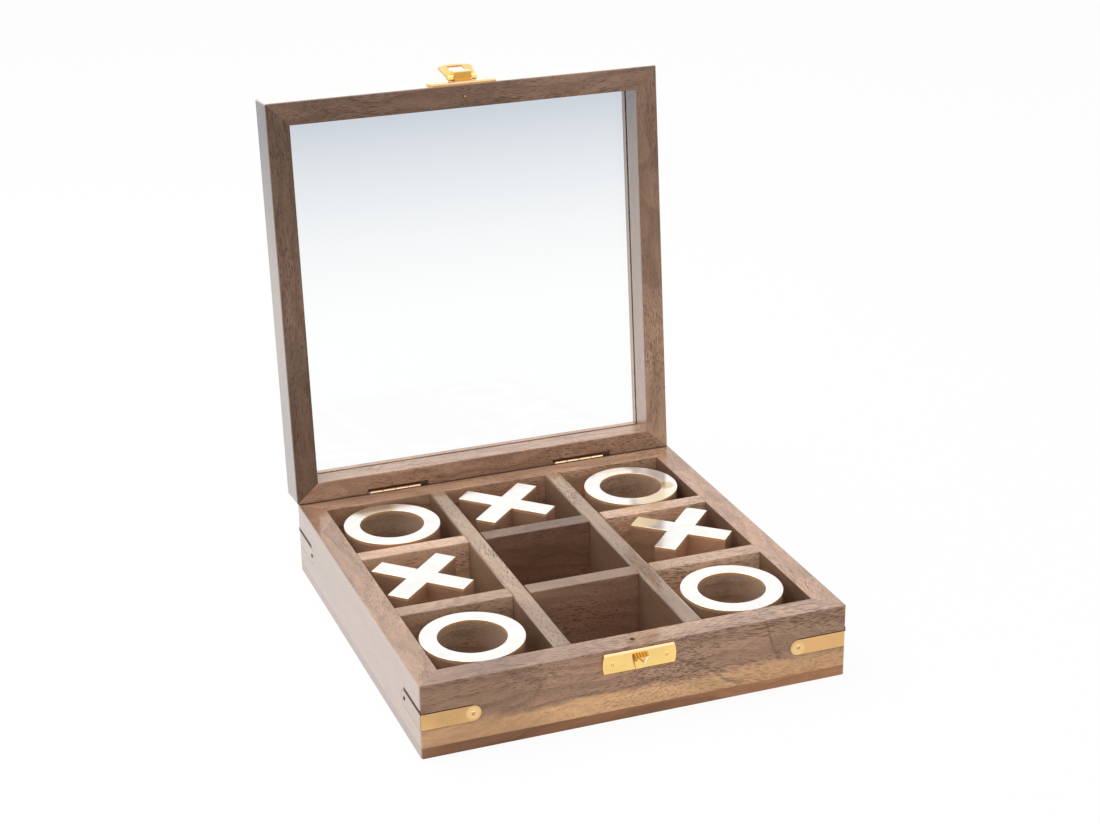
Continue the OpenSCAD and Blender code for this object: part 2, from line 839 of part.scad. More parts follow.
win_x = half_w - rail_w;
win_front = -half_w + rail_w;
win_back = half_w - hinge_rail_w;

// Straight rod on the locating pin's axis, from start up into the lid
module locating_rod(start) {
    translate([dowel_x, -half_w + dowel_inset, lid_z + start])
        cylinder(d = locating_pin_d, h = locating_pin_in - start);
}

// Brass pin that finds the hole in the front wall when the lid closes
module locating_pin() {
    point = locating_pin_d / 2;
    color(brass) lid_open() {
        locating_rod(point - locating_pin_out);
        translate([dowel_x, -half_w + dowel_inset, lid_z - locating_pin_out])
            cylinder(d1 = tip_d, d2 = locating_pin_d, h = point + eps);
    }
}

module lid_rail_front() {
    color(wood) lid_open() difference() {
        mitred([
            [-half_w, -half_w], [half_w, -half_w],
            [win_x, win_front], [-win_x, win_front]
        ]) rail_bar(rail_w);
        locating_rod(-cut);
        catch_pin_holes(hasp_mid);
    }
}

module lid_rail_hinge() {
    color(wood) lid_open() difference() {
        mitred([
            [-half_w, half_w], [half_w, half_w],
            [win_x, win_back], [-win_x, win_back]
        ]) mirror([0, 1, 0]) rail_bar(hinge_rail_w, hinge_edge_r);
        for (side = [-1, 1]) at_hinge(side) lid_hinge_cut();
    }
}

module lid_stile(side) {
    color(wood) lid_open() mitred([
        [side * half_w, -half_w], [side * half_w, half_w],
        [side * win_x, win_back], [side * win_x, win_front]
    ]) rotate([0, 0, side * 90]) rail_bar(rail_w);
}

module lid_stile_left() { lid_stile(-1); }

module lid_stile_right() { lid_stile(1); }

module glass_pane() {
    tuck = groove_deep - pane_room;
    color(clear_glass) lid_open()
        translate([-win_x - tuck, win_front - tuck, lid_z + pane_up])
            cube([2 * (win_x + tuck), win_back - win_front + 2 * tuck, pane_t]);
}

// Playing pieces

// Room that a piece of half-size reach has to shift inside its cell
function room(reach) = max(0, cell_w / 2 - reach - piece_gap);

// Half of the width of a cross turned by a
function arm_reach(a) = cross_half * abs(cos(a)) + cross_arm_w / 2 * abs(sin(a));
function cross_reach(a) = max(arm_reach(a), arm_reach(a + 90));

module in_cell(column, row, shift) {
    translate([column * cell_pitch + shift[0], row * cell_pitch + shift[1], 0]) children();
}

module ring_outline() {
    difference() {
        circle(r = ring_r, $fn = 96);
        circle(r = ring_bore_r, $fn = 96);
    }
}

module cross_outline() {
    square([2 * cross_half, cross_arm_w], center = true);
    square([cross_arm_w, 2 * cross_half], center = true);
}

module piece_body() {
    color(piece_wood) translate([0, 0, panel_t]) linear_extrude(piece_body_h) children();
}

module piece_cap() {
    color(cap_brass) translate([0, 0, cap_z]) linear_extrude(cap_t) children();
}

module place_ring(column, row, share) {
    in_cell(column, row, room(ring_r) * share) children();
}

module place_cross(column, row, share, turn) {
    in_cell(column, row, room(cross_reach(turn)) * share) rotate([0, 0, turn]) children();
}

module at_ring_back_left() { place_ring(-1, 1, ring_back_left_shift) children(); }

module at_ring_back_right() { place_ring(1, 1, ring_back_right_shift) children(); }

module at_ring_front_left() { place_ring(-1, -1, ring_front_left_shift) children(); }

module at_ring_front_right() { place_ring(1, -1, ring_front_right_shift) children(); }

module at_cross_left() { place_cross(-1, 0, cross_left_shift, cross_left_turn) children(); }

module at_cross_back() { place_cross(0, 1, cross_back_shift, cross_back_turn) children(); }

module at_cross_right() { place_cross(1, 0, cross_right_shift, cross_right_turn) children(); }

module ring_body_back_left() { at_ring_back_left() piece_body() ring_outline(); }

module ring_cap_back_left() { at_ring_back_left() piece_cap() ring_outline(); }

module ring_body_back_right() { at_ring_back_right() piece_body() ring_outline(); }

module ring_cap_back_right() { at_ring_back_right() piece_cap() ring_outline(); }

module ring_body_front_left() { at_ring_front_left() piece_body() ring_outline(); }

module ring_cap_front_left() { at_ring_front_left() piece_cap() ring_outline(); }

module ring_body_front_right() { at_ring_front_right() piece_body() ring_outline(); }

module ring_cap_front_right() { at_ring_front_right() piece_cap() ring_outline(); }

module cross_body_left() { at_cross_left() piece_body() cross_outline(); }

module cross_cap_left() { at_cross_left() piece_cap() cross_outline(); }

module cross_body_back() { at_cross_back() piece_body() cross_outline(); }

module cross_cap_back() { at_cross_back() piece_cap() cross_outline(); }

module cross_body_right() { at_cross_right() piece_body() cross_outline(); }

module cross_cap_right() { at_cross_right() piece_cap() cross_outline(); }

// Draw the chosen node
wall_front();
wall_back();
wall_left();
wall_right();
bottom_panel();
long_divider_left();
long_divider_right();
cross_divider_rear();
cross_divider_front();
corner_bracket_front_left();
corner_bracket_front_right();
corner_bracket_back_left();
corner_bracket_back_right();
bracket_pins();
catch_plate();
catch_plate_pins();
hinge_leaf_base_left();
hinge_leaf_base_right();
hinge_leaf_lid_left();
hinge_leaf_lid_right();
hinge_pin_left();
hinge_pin_right();
hinge_screws_base();
hinge_screws_lid();
lid_rail_front();
lid_rail_hinge();
lid_stile_left();
lid_stile_right();
glass_pane();
locating_pin();
hasp_plate();
hasp_plate_pins();
hasp_pin();
hasp_flap();
ring_body_back_left();
ring_cap_back_left();
ring_body_back_right();
ring_cap_back_right();
ring_body_front_left();
ring_cap_front_left();
ring_body_front_right();
ring_cap_front_right();
cross_body_left();
cross_cap_left();
cross_body_back();
cross_cap_back();
cross_body_right();
cross_cap_right();
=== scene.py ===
"""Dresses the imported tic-tac-toe box: lacquered walnut, polished brass, a glass lid
and a white studio. Every piece is in metres and sits where the frame puts it."""

import math
from math import radians

import bpy
from mathutils import Matrix, Vector


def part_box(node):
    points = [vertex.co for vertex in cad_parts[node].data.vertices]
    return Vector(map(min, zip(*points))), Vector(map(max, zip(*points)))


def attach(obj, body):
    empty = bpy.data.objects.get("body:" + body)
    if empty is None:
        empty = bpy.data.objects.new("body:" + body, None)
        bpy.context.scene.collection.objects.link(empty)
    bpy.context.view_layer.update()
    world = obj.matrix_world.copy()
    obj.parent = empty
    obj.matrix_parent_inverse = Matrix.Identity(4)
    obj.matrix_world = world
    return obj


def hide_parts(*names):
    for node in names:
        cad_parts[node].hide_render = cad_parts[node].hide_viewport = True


bl_info = {
    "name": "Tic-tac-toe box",
    "version": (1, 0, 0),
    "blender": (4, 5, 0),
    "location": "3D View > Sidebar > Game Box",
    "description": "Dresses a glass-lidded tic-tac-toe box in walnut and brass",
    "category": "Object",
}

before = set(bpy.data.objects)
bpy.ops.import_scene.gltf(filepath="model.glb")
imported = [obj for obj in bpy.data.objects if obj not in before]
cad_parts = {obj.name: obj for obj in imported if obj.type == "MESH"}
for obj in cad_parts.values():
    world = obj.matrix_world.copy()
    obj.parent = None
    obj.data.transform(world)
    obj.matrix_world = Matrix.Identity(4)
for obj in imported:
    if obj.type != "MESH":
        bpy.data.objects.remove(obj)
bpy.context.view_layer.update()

BASE = "base"
RINGS = ("back_left", "back_right", "front_left", "front_right")
CROSSES = ("left", "back", "right")

LID_LEAN = radians(5)
WHITE = (1, 1, 1)


# Settings


def setting(kind, **fixed):
    """A function that declares settings of one kind."""

    def declare(name, text, value):
        return kind(name=name, description=text, default=value, **fixed)

    return declare


colour = setting(bpy.props.FloatVectorProperty, size=3, subtype="COLOR", min=0, max=1)
point = setting(bpy.props.FloatVectorProperty, size=3, subtype="TRANSLATION")
length = setting(bpy.props.FloatProperty, min=0, unit="LENGTH", precision=5)
angle = setting(bpy.props.FloatProperty, subtype="ANGLE")
share = setting(bpy.props.FloatProperty, min=0, max=1, subtype="FACTOR")
number = setting(bpy.props.FloatProperty, min=0)


class WoodSettings(bpy.types.PropertyGroup):
    """Colours and finish of the walnut"""

    heart: colour("Heartwood", "Main colour of the walnut", (0.38, 0.222, 0.14))
    late: colour("Latewood", "Darker lines of the growth rings", (0.235, 0.125, 0.078))
    sap: colour("Sapwood", "Pale wood along the foot of the front wall", (0.66, 0.38, 0.19))
    pore: colour("Pores", "Dark dashes in the grain", (0.11, 0.058, 0.036))
    # Painted shade in the joints beside the hinges and under the lid
    seam: colour("Seam", "Shaded wood beside the hinges", (0.07, 0.038, 0.024))
    panel: colour("Bottom panel", "Reddish board under the walls", (0.26, 0.115, 0.052))
    # Painted shade: the dark of an open joint, of the notches' ends and round the dowel hole
    gap_shade: colour("Stain", "Wood in an open joint or round a hole", (0.045, 0.028, 0.018))
    long_divider: colour("Long dividers", "Walnut of the long dividers", (0.368, 0.232, 0.146))
    rear_divider: colour("Rear divider", "Walnut of the rear cross divider", (0.38, 0.23, 0.15))
    front_divider: colour("Front divider", "Walnut of the front cross divider", (0.38, 0.238, 0.16))
    gloss: share("Roughness", "Roughness of the lacquered wood", 0.36)
    front_coat: share("Front coat", "Coat on faces that look to the front or back", 0.06)
    coat_ior: number("Coat IOR", "Refraction of the lacquer coat", 2.2)
    drift: number("Drift", "How far the grain wanders sideways, in millimetres", 34)
    ring_gap: number("Growth rings", "Distance between growth rings, in millimetres", 6.5)
    sap_top: number("Sapwood top", "Height of the sapwood in the front wall's grain", 18.5)


class BrassSettings(bpy.types.PropertyGroup):
    """Colours and finish of the brass"""

    gold: colour("Fittings", "The catch, the hasp and their pins", (0.97, 0.67, 0.24))
    # Painted reflections: the caps are painted pale on top for the bright studio and gold on their sides
    # for the warm wood
    cap: colour("Caps", "Tops of the rings' and crosses' caps", (1.0, 0.975, 0.94))
    cap_side: colour("Cap sides", "The caps' thin upright faces", (0.9, 0.5, 0.2))
    bracket: colour("Brackets", "The corner brackets", (0.73, 0.41, 0.14))
    # Painted shade: the darker legs on the left and right walls
    bracket_side_shade: colour("Bracket sides", "Legs on the left and right walls", (0.38, 0.22, 0.09))
    bracket_pin: colour("Bracket pins", "Heads of the brackets' pins", (0.82, 0.54, 0.23))
    hinge: colour("Hinges", "The hinges", (0.86, 0.62, 0.4))
    hinge_shade: colour("Hinge shade", "Under the hinges' knuckles", (0.12, 0.065, 0.03))
    # Painted highlight: the bright colour of the bevels
    sheen: colour("Bevels", "Bright bevels on the catch and hasp", (0.75, 0.52, 0.31))
    # Painted shade on the front of the hasp's loop
    loop_front_shade: colour("Hasp loop", "Front of the hasp's folded loop", (0.6, 0.32, 0.075))
    # Painted shade: the deep gold laid in corners and slots, where shade falls
    corner_shade_colour: colour("Tarnish", "Deep gold in corners and slots", (0.42, 0.17, 0.02))
    # Painted shade: dark rings for the shade in the grooves round the pin heads, also laid on pin heads
    # that look left or right; the faint rings do the same on the catch's pins
    mark: colour("Pin marks", "Dark rings in the brackets' pins", (0.09, 0.04, 0.012))
    faint_mark: colour("Faint marks", "Rings in the catch's pins", (0.5, 0.27, 0.06))
    # The beak's colours are painted reflections, with a painted highlight and painted shade on its edges
    beak_brow: colour("Beak brow", "Top of the catch's beak", (0.52, 0.23, 0.027))
    beak_teeth: colour("Beak teeth", "Dark teeth on top of the beak", (0.27, 0.085, 0.008))
    beak_face: colour("Beak face", "Pointed front face of the beak", (0.55, 0.33, 0.11))
    beak_shade_edge: colour("Beak dark edge", "Left edge of the beak's front face", (0.2, 0.07, 0.01))
    beak_highlight: colour("Beak bright edge", "Right edge of the beak's front face", (0.66, 0.56, 0.4))
    beak_root_shade: colour("Beak root", "Left side of the beak next to the plate", (0.24, 0.07, 0.01))
    beak_side: colour("Beak side", "Left side of the beak near its tip", (0.6, 0.3, 0.06))
    polish: share("Roughness", "Roughness of the polished brass", 0.1)


class PieceSettings(bpy.types.PropertyGroup):
    """Sizes of the details that the frame leaves to the scene"""

    soft_edge: length("Cap edge", "Rounding of the caps' edges", 0.00012)
    wood_edge: length("Wood edge", "Rounding of the pieces' wooden edges", 0.0003)
    ring_band: length("Ring band", "Width of a ring's band", 0.0071)
    arm_width: length("Arm width", "Width of a cross's arms", 0.0095)
    cross_right_turn: angle("Right cross", "Turn of the right cross", radians(-42.4))
    cross_turn: angle("Crosses", "Turn of the other crosses", radians(-45))
    half_width: length("Half width", "From the box's middle to its outer faces", 0.09)
    bracket_pin: length("Bracket pins", "From the box's middle to a bracket's pin", 0.0689)
    bracket_level: length("Bracket level", "Height of the brackets' middle", 0.0156)
    bracket_half: length("Bracket half", "Half the height of a bracket", 0.00345)
    bracket_raise: length("Bracket raise", "How much higher the front right bracket sits", 0.0008)
    # The pins' rings are painted shade of the grooves round their heads
    mark_radius: length("Pin marks", "Outer radius of the ring in a pin", 0.0006)
    # The notches' blocks are painted shade: dark wood where the notches' ends lie in shade
    notch_shade_block: length("Notch block", "Thickness of the blocks behind the notches", 0.00045)
    # The dark line above each bracket is a painted shadow, in the gap between bracket and wall
    joint_shadow_line: length("Joint line", "Height of the dark line above a bracket", 0.0004)
    joint_rise: length("Joint rise", "How much taller the dark line is on the legs that run back", 0.0013)
    joint_reach: length("Joint reach", "How far the dark line runs along each leg", 0.0212)


class StudioSettings(bpy.types.PropertyGroup):
    """Camera, floor and lights"""

    place: point("Camera", "Where the camera stands", (-0.29667, -0.79388, 0.43489))
    bearing: angle("Bearing", "Turn of the view from +Y towards +X", radians(20.328))
    tilt: angle("Tilt", "How far the view looks down", radians(21.817))
    roll: angle("Roll", "Turn of the camera about its view", radians(-0.837))
    focal: number("Focal length", "In millimetres, on a sensor 36 mm wide", 72.22)
    ambient: number("Ambient", "Level of the light from all round", 0.62)
    key: number("Key light", "Power of the large lamp, in watts", 7.5)
    fill: number("Side light", "Power of the lamp on the left, in watts", 0.7)
    shadow: share("Shadow", "How much of the floor's own shading shows", 0.06)
    ceiling: colour("Ceiling", "Colour that metal reflects from straight above", (0.3, 0.24, 0.19))
    glare: number("Glare", "How much brighter metal sees two bands of the world", 0.7)
    floor_size: length("Floor", "Width of the floor", 12)
    floor_colour: colour("Floor colour", "Colour of the floor", (0.94, 0.94, 0.94))
    haze: colour("Haze", "Colour of the far floor seen through the glass", (0.6, 0.645, 0.71))


SETTINGS = {
    "wood": WoodSettings,
    "brass": BrassSettings,
    "pieces": PieceSettings,
    "studio": StudioSettings,
}


def settings(name):
    return getattr(bpy.context.scene, "game_box_" + name)


# Node helpers


class Level:
    """A value, colour or vector inside a material. Each sum written with it adds a node."""

    def __init__(self, tree, socket):
        self.tree = tree
        self.socket = socket

    def __add__(self, other):
        return calculate(self.tree, "ADD", self, other)

    def __sub__(self, other):
        return calculate(self.tree, "SUBTRACT", self, other)

    def __rsub__(self, other):
        return calculate(self.tree, "SUBTRACT", other, self)

    def __mul__(self, other):
        return calculate(self.tree, "MULTIPLY", self, other)

    def __truediv__(self, other):
        return calculate(self.tree, "DIVIDE", self, other)

    def __pow__(self, other):
        return calculate(self.tree, "POWER", self, other)

    def __abs__(self):
        return calculate(self.tree, "ABSOLUTE", self)

    __radd__ = __add__
    __rmul__ = __mul__


def fill(node, sockets):
    """Sets each socket to its number or its opaque colour, or links it to its level."""
    for key, value in sockets.items():
        socket = node.inputs[key]
        if isinstance(value, Level):
            value.tree.links.new(value.socket, socket)
        elif socket.type == "RGBA":
            socket.default_value = (*value, 1)
        else:
            socket.default_value = value


def add(tree, kind, sockets, output=0, **values):
    """Adds a shader node and returns one of its outputs as a level."""
    node = tree.nodes.new("ShaderNode" + kind)
    for key, value in values.items():
        setattr(node, key, value)
    fill(node, sockets)
    return Level(tree, node.outputs[output])


def calculate(tree, operation, *values, clamp=False):
    return add(tree, "Math", dict(enumerate(values)), operation=operation, use_clamp=clamp)


def vector_node(operation, a, b, output=0):
    return add(a.tree, "VectorMath", {0: a, 1: b}, output, operation=operation)


def parts_of(vector):
    """The X, Y and Z of a vector."""
    node = add(vector.tree, "SeparateXYZ", {0: vector}).socket.node
    return [Level(vector.tree, output) for output in node.outputs]


def blend_colours(factor, a, b):
    """Mixes two colours, each three numbers or a level."""
    return add(factor.tree, "Mix", {"Factor": factor, 6: a, 7: b}, 2, data_type="RGBA")


def scale_colour(tint, by):
    sockets = {"Factor": 1.0, 6: tint, 7: by}
    return add(tint.tree, "Mix", sockets, 2, data_type="RGBA", blend_type="MULTIPLY")


def remap(value, low, high, to_low=0.0, to_high=1.0, smooth=False):
    return add(
        value.tree, "MapRange",
        {"Value": value, "From Min": low, "From Max": high, "To Min": to_low, "To Max": to_high},
        interpolation_type="SMOOTHSTEP" if smooth else "LINEAR",
    )


def turned(part, to_low=0.0, to_high=1.0):
    """Goes from one level to another as a face turns to look along an axis."""
    return remap(part, 0.4, 0.8, to_low, to_high)


def dimmed(rgb, level):
    return [c * level for c in rgb]


def shader_of(material):
    return material.node_tree.nodes["Principled BSDF"]


def source_of(material, name):
    """What one of the shader's sockets is linked to."""
    return Level(material.node_tree, shader_of(material).inputs[name].links[0].from_socket)


def new_material(name):
    """An empty material with one Principled shader; returns it, its tree and the shader."""
    material = bpy.data.materials.new(name)
    material.use_nodes = True
    return material, material.node_tree, shader_of(material)


def grain_space(tree, turn=(0, 0, 0), shift=(0, 0, 0)):
    """Object coordinates in millimetres, turned so that the grain runs along X."""
    place = add(tree, "TexCoord", {}, "Object")
    return add(
        tree, "Mapping",
        {"Vector": place, "Scale": (1000, 1000, 1000), "Rotation": turn, "Location": shift},
    )


def stretched(space, along, across):
    """Grain space scaled by one figure along the grain and another across it."""
    return vector_node("MULTIPLY", space, (along, across, across))


def noise(vector, detail=2.0, rough=0.5, output=0):
    sockets = {"Vector": vector, "Scale": 1.0, "Detail": detail, "Roughness": rough}
    return add(vector.tree, "TexNoise", sockets, output)


def bump(height, strength, depth):
    return add(height.tree, "Bump", {"Strength": strength, "Distance": depth, "Height": height})


def ray(tree, kind):
    """1 for light of a kind, such as Camera or Glossy."""
    return add(tree, "LightPath", {}, "Is %s Ray" % kind)


# Dark veins of the front wall: half their width, their strength and their points (x, z), in millimetres
FRONT_VEINS = (
    (2.6, 0.28, ((-55.7, 31.2), (-49.7, 28.2), (-44.5, 25.0), (-42.0, 22.3))),
    (2.2, 0.3, ((-56.9, 14.1), (-50.0, 14.8), (-44.2, 17.5), (-41.6, 22.7))),
    (1.0, 0.5, ((15.3, 22.9), (21.4, 19.0), (27.5, 16.0), (32.7, 12.2), (38.1, 8.0), (44.3, 5.8))),
    (0.9, 0.5, ((54.2, 30.7), (55.7, 26.0), (56.7, 22.2), (58.1, 17.9), (60.9, 14.2))),
)

# Painted reflections on the caps, where they mirror something else: middle (x, y) and radius in
# millimetres, how much less they mirror, and the painted colour
CAP_GLEAMS = (
    ((-59.2, 74.7), 12.0, 0.0, (0.64, 0.52, 0.37)),
    ((62.1, 40.2), 13.0, 0.7, (1.0, 0.87, 0.64)),
    ((71.1, 49.7), 5.0, 0.0, (0.78, 0.63, 0.38)),
    ((53.6, 74.3), 11.0, 0.8, (1.0, 0.93, 0.82)),
    ((-12.4, 68.4), 10.0, 0.8, (1.0, 0.97, 0.93)),
    ((11.8, 71.7), 9.0, 0.8, (1.0, 0.97, 0.93)),
    ((46.2, 17.6), 8.5, 0.5, (0.92, 0.76, 0.5)),
)

# How bright each board is painted along its run, as painted light and shade: the axis, then millimetres
# and level of each point
LIGHT_RUNS = {
    "wall_front": (0, ((-90, 0.95), (-60, 0.95), (-20, 1.28), (30, 1.28), (70, 1.1), (90, 1.1))),
    "wall_back": (0, ((-90, 1.4), (-40, 1.6), (0, 1.7), (40, 2.05), (90, 1.9))),
    "wall_left": (1, ((-90, 1.25), (0, 1.22), (60, 1.1), (90, 1.1))),
    "bottom_panel": (0, ((-90, 1.0), (-60, 1.05), (0, 1.37), (60, 2.05), (90, 2.05))),
    "long_divider_left": (1, ((-80, 0.95), (-55, 0.95), (0, 1.5), (55, 1.12), (80, 1.12))),
    "long_divider_right": (1, ((-80, 1.0), (-55, 1.0), (0, 0.95), (55, 1.2), (80, 1.2))),
    "cross_divider_rear": (
        0, ((-80, 2.2), (-34, 2.4), (-24, 0.78), (24, 0.78), (34, 2.5), (80, 2.5)),
    ),
    "cross_divider_front": (
        0, ((-80, 1.5), (-34, 1.8), (-24, 1.1), (24, 1.05), (34, 2.9), (80, 2.7)),
    ),
    "lid_rail_front": (0, ((-90, 0.95), (0, 0.95), (50, 1.3), (90, 1.3))),
    "lid_rail_hinge": (0, ((-90, 1.35), (-50, 1.35), (0, 1.05), (70, 1.28), (90, 1.28))),
    "lid_stile_left": (2, ((31, 0.9), (71, 0.9), (121, 1.3), (171, 0.85), (211, 0.85))),
    "lid_stile_right": (2, ((31, 1.9), (71, 1.8), (121, 1.3), (171, 1.05), (211, 1.05))),
}

# The same painted light for faces that look up, where they differ
TOP_LIGHTS = {
    "wall_front": ((-90, 0.95), (-60, 0.95), (-20, 1.3), (0, 1.4), (50, 1.48), (90, 1.32)),
    "wall_back": ((-90, 1.25), (0, 1.15), (40, 1.4), (90, 1.4)),
    "cross_divider_rear": (
        (-80, 1.75), (-34, 1.9), (-24, 0.66), (24, 0.66), (34, 2.05), (80, 2.15),
    ),
    "cross_divider_front": (
        (-80, 1.22), (-34, 1.25), (-24, 0.9), (24, 0.9), (34, 1.5), (80, 1.55),
    ),
}

# Grain directions: the turn that lays each one along X
ALONG_X = (0, 0, 0)
ALONG_Y = (0, 0, radians(-90))
ALONG_STILE = (LID_LEAN, radians(90), 0)

# How far the growth rings' centre lies off a board, across the grain and in depth, in millimetres
RING_CENTRE = (38, 60)

# Half the height over which the sapwood fades, and the height of a vein's curve, in millimetres
SAP_FADE = 2.2
VEIN_TOP = 30

# A seam's painted shade: its depth behind its plane and the height where it ends, in millimetres
SEAM_SHADE_DEEP = 2
SEAM_SHADE_TOP = 33.4

# How red, green and blue follow the level of painted light along a run
LIGHT_POWERS = (0.95, 1.05, 1.1)

# How far out the catch's beak starts, its root and its tip, and the heights of its top and
# point, in millimetres
BEAK_START, BEAK_ROOT, BEAK_TIP = -91.25, -91.5, -92.6
BEAK_TOP, BEAK_POINT = 27.6, 25.6

# Radii between which a ring's wood turns to the cooler colour and thinner coat of its bore, in
# millimetres
BORE_EDGE = (15.2, 14.6)


def walnut(
    name, turn, shift, base=None, pores=1.0, sapwood=False, tone=1.0, top=0.5, side=1.0,
    crowding=0.0, seam=None, run=None, flank=1.0, top_light=None, lines=(),
):
    """Lacquered walnut: bent growth rings, fibres, pores and, if asked, a sapwood foot.

    Top and side scale the coat on faces that look up and to the left or right, a side factor
    darkens the colour of the latter as painted shade, and crowding brings more pores towards
    +X. Run is an axis and levels of painted light and shade at positions along it, with
    other levels of painted light for faces that look up, and lines are dark veins. A seam's
    painted shade is a direction, a distance and a height in millimetres and a level: the
    strip past the distance and above the height is painted dark, as the shade in a joint,
    and loses its coat."""
    wood = settings("wood")
    material, tree, shader = new_material(name)
    space = grain_space(tree, turn, shift)
    bare = grain_space(tree)
    spots = parts_of(bare)
    ways = parts_of(add(tree, "NewGeometry", {}, "Normal"))
    sideways = abs(ways[0])

    # The grain drifts sideways along the board, and rings, fibres and pores follow it
    bent = wandering(space, along=0.016, across=0.03, reach=wood.drift)
    fibre = noise(stretched(bent, along=0.07, across=2.4), detail=4, rough=0.65)
    streak = noise(stretched(bent, along=0.012, across=0.4), detail=3)
    mottle = noise(stretched(space, along=0.03, across=0.08), detail=3)

    # Faces that look sideways mirror the studio, so their own figure is faint
    vivid = turned(sideways, 1.0, 1 - 0.65 * side)
    dash = pore_figure(space, pores, crowding) * vivid

    heart = dimmed(base or wood.heart, tone)
    dark = dimmed(dimmed(base, 0.7) if base else wood.late, tone)
    mixed = (latewood(bent, wood.ring_gap) * 0.5 + remap(streak, 0.45, 0.8, 0, 0.6)) * vivid
    tint = blend_colours(mixed, heart, dark)
    if sapwood:
        height = parts_of(space)[2] + (mottle * 7 + streak * 5)
        edge = remap(height, wood.sap_top + SAP_FADE, wood.sap_top - SAP_FADE, smooth=True)
        pale = edge * remap(streak, 0.35, 0.7, 0.97, 0.65)
        tint = blend_colours(pale, tint, wood.sap)
        dash = dash * remap(edge, 0, 1, 1, 0.55)
    # Painted light and shade: the colour is brightened and darkened along the board, and on faces that
    # look up
    if run:
        tint = scale_colour(tint, light_tint(painted_light_level(spots, ways[2], run, top_light)))
    # Painted shade: faces that look left or right are darkened
    if flank != 1.0:
        tint = scale_colour(tint, grey(turned(sideways, 1.0, flank)))
    for half, strength, points in lines:
        vein = vein_line(spots, fibre, half, points) * strength
        tint = blend_colours(vein, tint, wood.pore)
    light = remap(fibre, 0.3, 0.7, 0.84, 1.14) * remap(mottle, 0.3, 0.7, 0.86, 1.14)
    tint = scale_colour(tint, grey((light - 1) * vivid + 1))
    tint = blend_colours(dash * 0.75, tint, dimmed(wood.pore, tone))

    # The coat shines on faces that look sideways or up, and hardly on the front
    weight = wood.front_coat
    for way, part in ((0, side), (2, top)):
        weight = calculate(tree, "MAXIMUM", weight, turned(abs(ways[way]), 0, part))
    # Painted shade: a thin strip behind a joint's plane is painted dark, as the joint's shade, and loses
    # its coat
    if seam:
        way, start, foot, level = seam
        in_shade = shade_strip(bare, way, start, foot)
        tint = blend_colours(in_shade, tint, dimmed(wood.seam, level))
        weight = weight * (1 - in_shade)
    fill(shader, {
        "Base Color": tint,
        "Roughness": remap(dash + fibre, 0.3, 1.6, wood.gloss - 0.05, wood.gloss + 0.25),
        "Normal": bump((fibre * 0.3 - dash) * vivid, strength=0.15, depth=0.0002),
        "Coat Weight": weight,
        "Coat IOR": wood.coat_ior,
        "Coat Roughness": 0.08,
        "Specular IOR Level": 0.25,
    })
    return material


def wandering(space, along, across, reach, detail=2.0):
    """Grain space that sways sideways by up to a reach in millimetres."""
    sway = noise(stretched(space, along, across), detail, output="Color")
    return vector_node("ADD", space, vector_node("MULTIPLY", sway, (0, reach, reach)))


def latewood(space, ring_gap):
    """Dark lines of the growth rings, which lie round a centre far from the board."""
    _, across, deep = parts_of(space)
    beside, below = RING_CENTRE
    radius = calculate(space.tree, "SQRT", (across + beside) ** 2 + (deep + below) ** 2)
    ring = calculate(space.tree, "FRACT", radius / ring_gap)
    return remap(ring, 0.3, 0.95, smooth=True) * remap(ring, 1.0, 0.93)


def pore_figure(space, pores, crowding):
    """Short dark dashes in two sizes, crowded in some places."""
    straight = wandering(space, along=0.012, across=0.012, reach=30, detail=0.0)
    crowd = noise(stretched(space, along=0.02, across=0.06))
    if crowding:
        crowd = crowd + remap(parts_of(space)[0], -70, 40, -0.1 * crowding, 0.14 * crowding)
    limit = remap(crowd, 0.35, 0.62, 0.12, 0.36 * pores)
    long_pores = pore_dashes(straight, along=0.12, across=1.5, limit=limit)
    limit = remap(crowd, 0.3, 0.6, 0.16, 0.38 * pores)
    short_pores = pore_dashes(straight, along=0.22, across=2.3, limit=limit)
    return calculate(space.tree, "MAXIMUM", long_pores, short_pores * 0.75)


def pore_dashes(space, along, across, limit):
    """1 in the middle of each dash; limit sets how large the dashes are."""
    cell = add(
        space.tree, "TexVoronoi",
        {"Vector": stretched(space, along, across), "Scale": 1.0, "Randomness": 1.0}, "Distance",
    )
    return remap(limit - cell, 0, 0.08)


def curve_level(place, points, top=3.0):
    """A smooth level through (position, level) pairs; positions in millimetres, level up to top."""
    first, last = points[0][0], points[-1][0]
    level = add(place.tree, "FloatCurve", {"Value": remap(place, first, last)})
    mapping = level.socket.node.mapping
    curve = mapping.curves[0]
    for i, (where, height) in enumerate(points):
        spot = ((where - first) / (last - first), height / top)
        if i < 2:
            curve.points[i].location = spot
        else:
            curve.points.new(*spot)
    mapping.update()
    return level * top


def painted_light_level(spots, up, run, top_light):
    """A board's level of painted light along its run, with other levels on faces that look up."""
    axis, points = run
    level = curve_level(spots[axis], points)
    if top_light:
        level = level + (curve_level(spots[axis], top_light) - level) * turned(up)
    return level


def vein_line(spots, fibre, half, points):
    """1 along the middle of a vein that wavers through its points."""
    (start, start_height), (end, end_height) = points[0], points[-1]
    slant = math.hypot(1, (end_height - start_height) / (end - start))
    waver = (fibre - 0.5) * (3 * slant)
    away = abs(spots[2] + waver - curve_level(spots[0], points, VEIN_TOP))
    vein = remap(away, half * slant, 0, smooth=True)
    for edge, past in ((start, -half), (end, half)):
        vein = vein * remap(spots[0], edge + past, edge, smooth=True)
    return vein


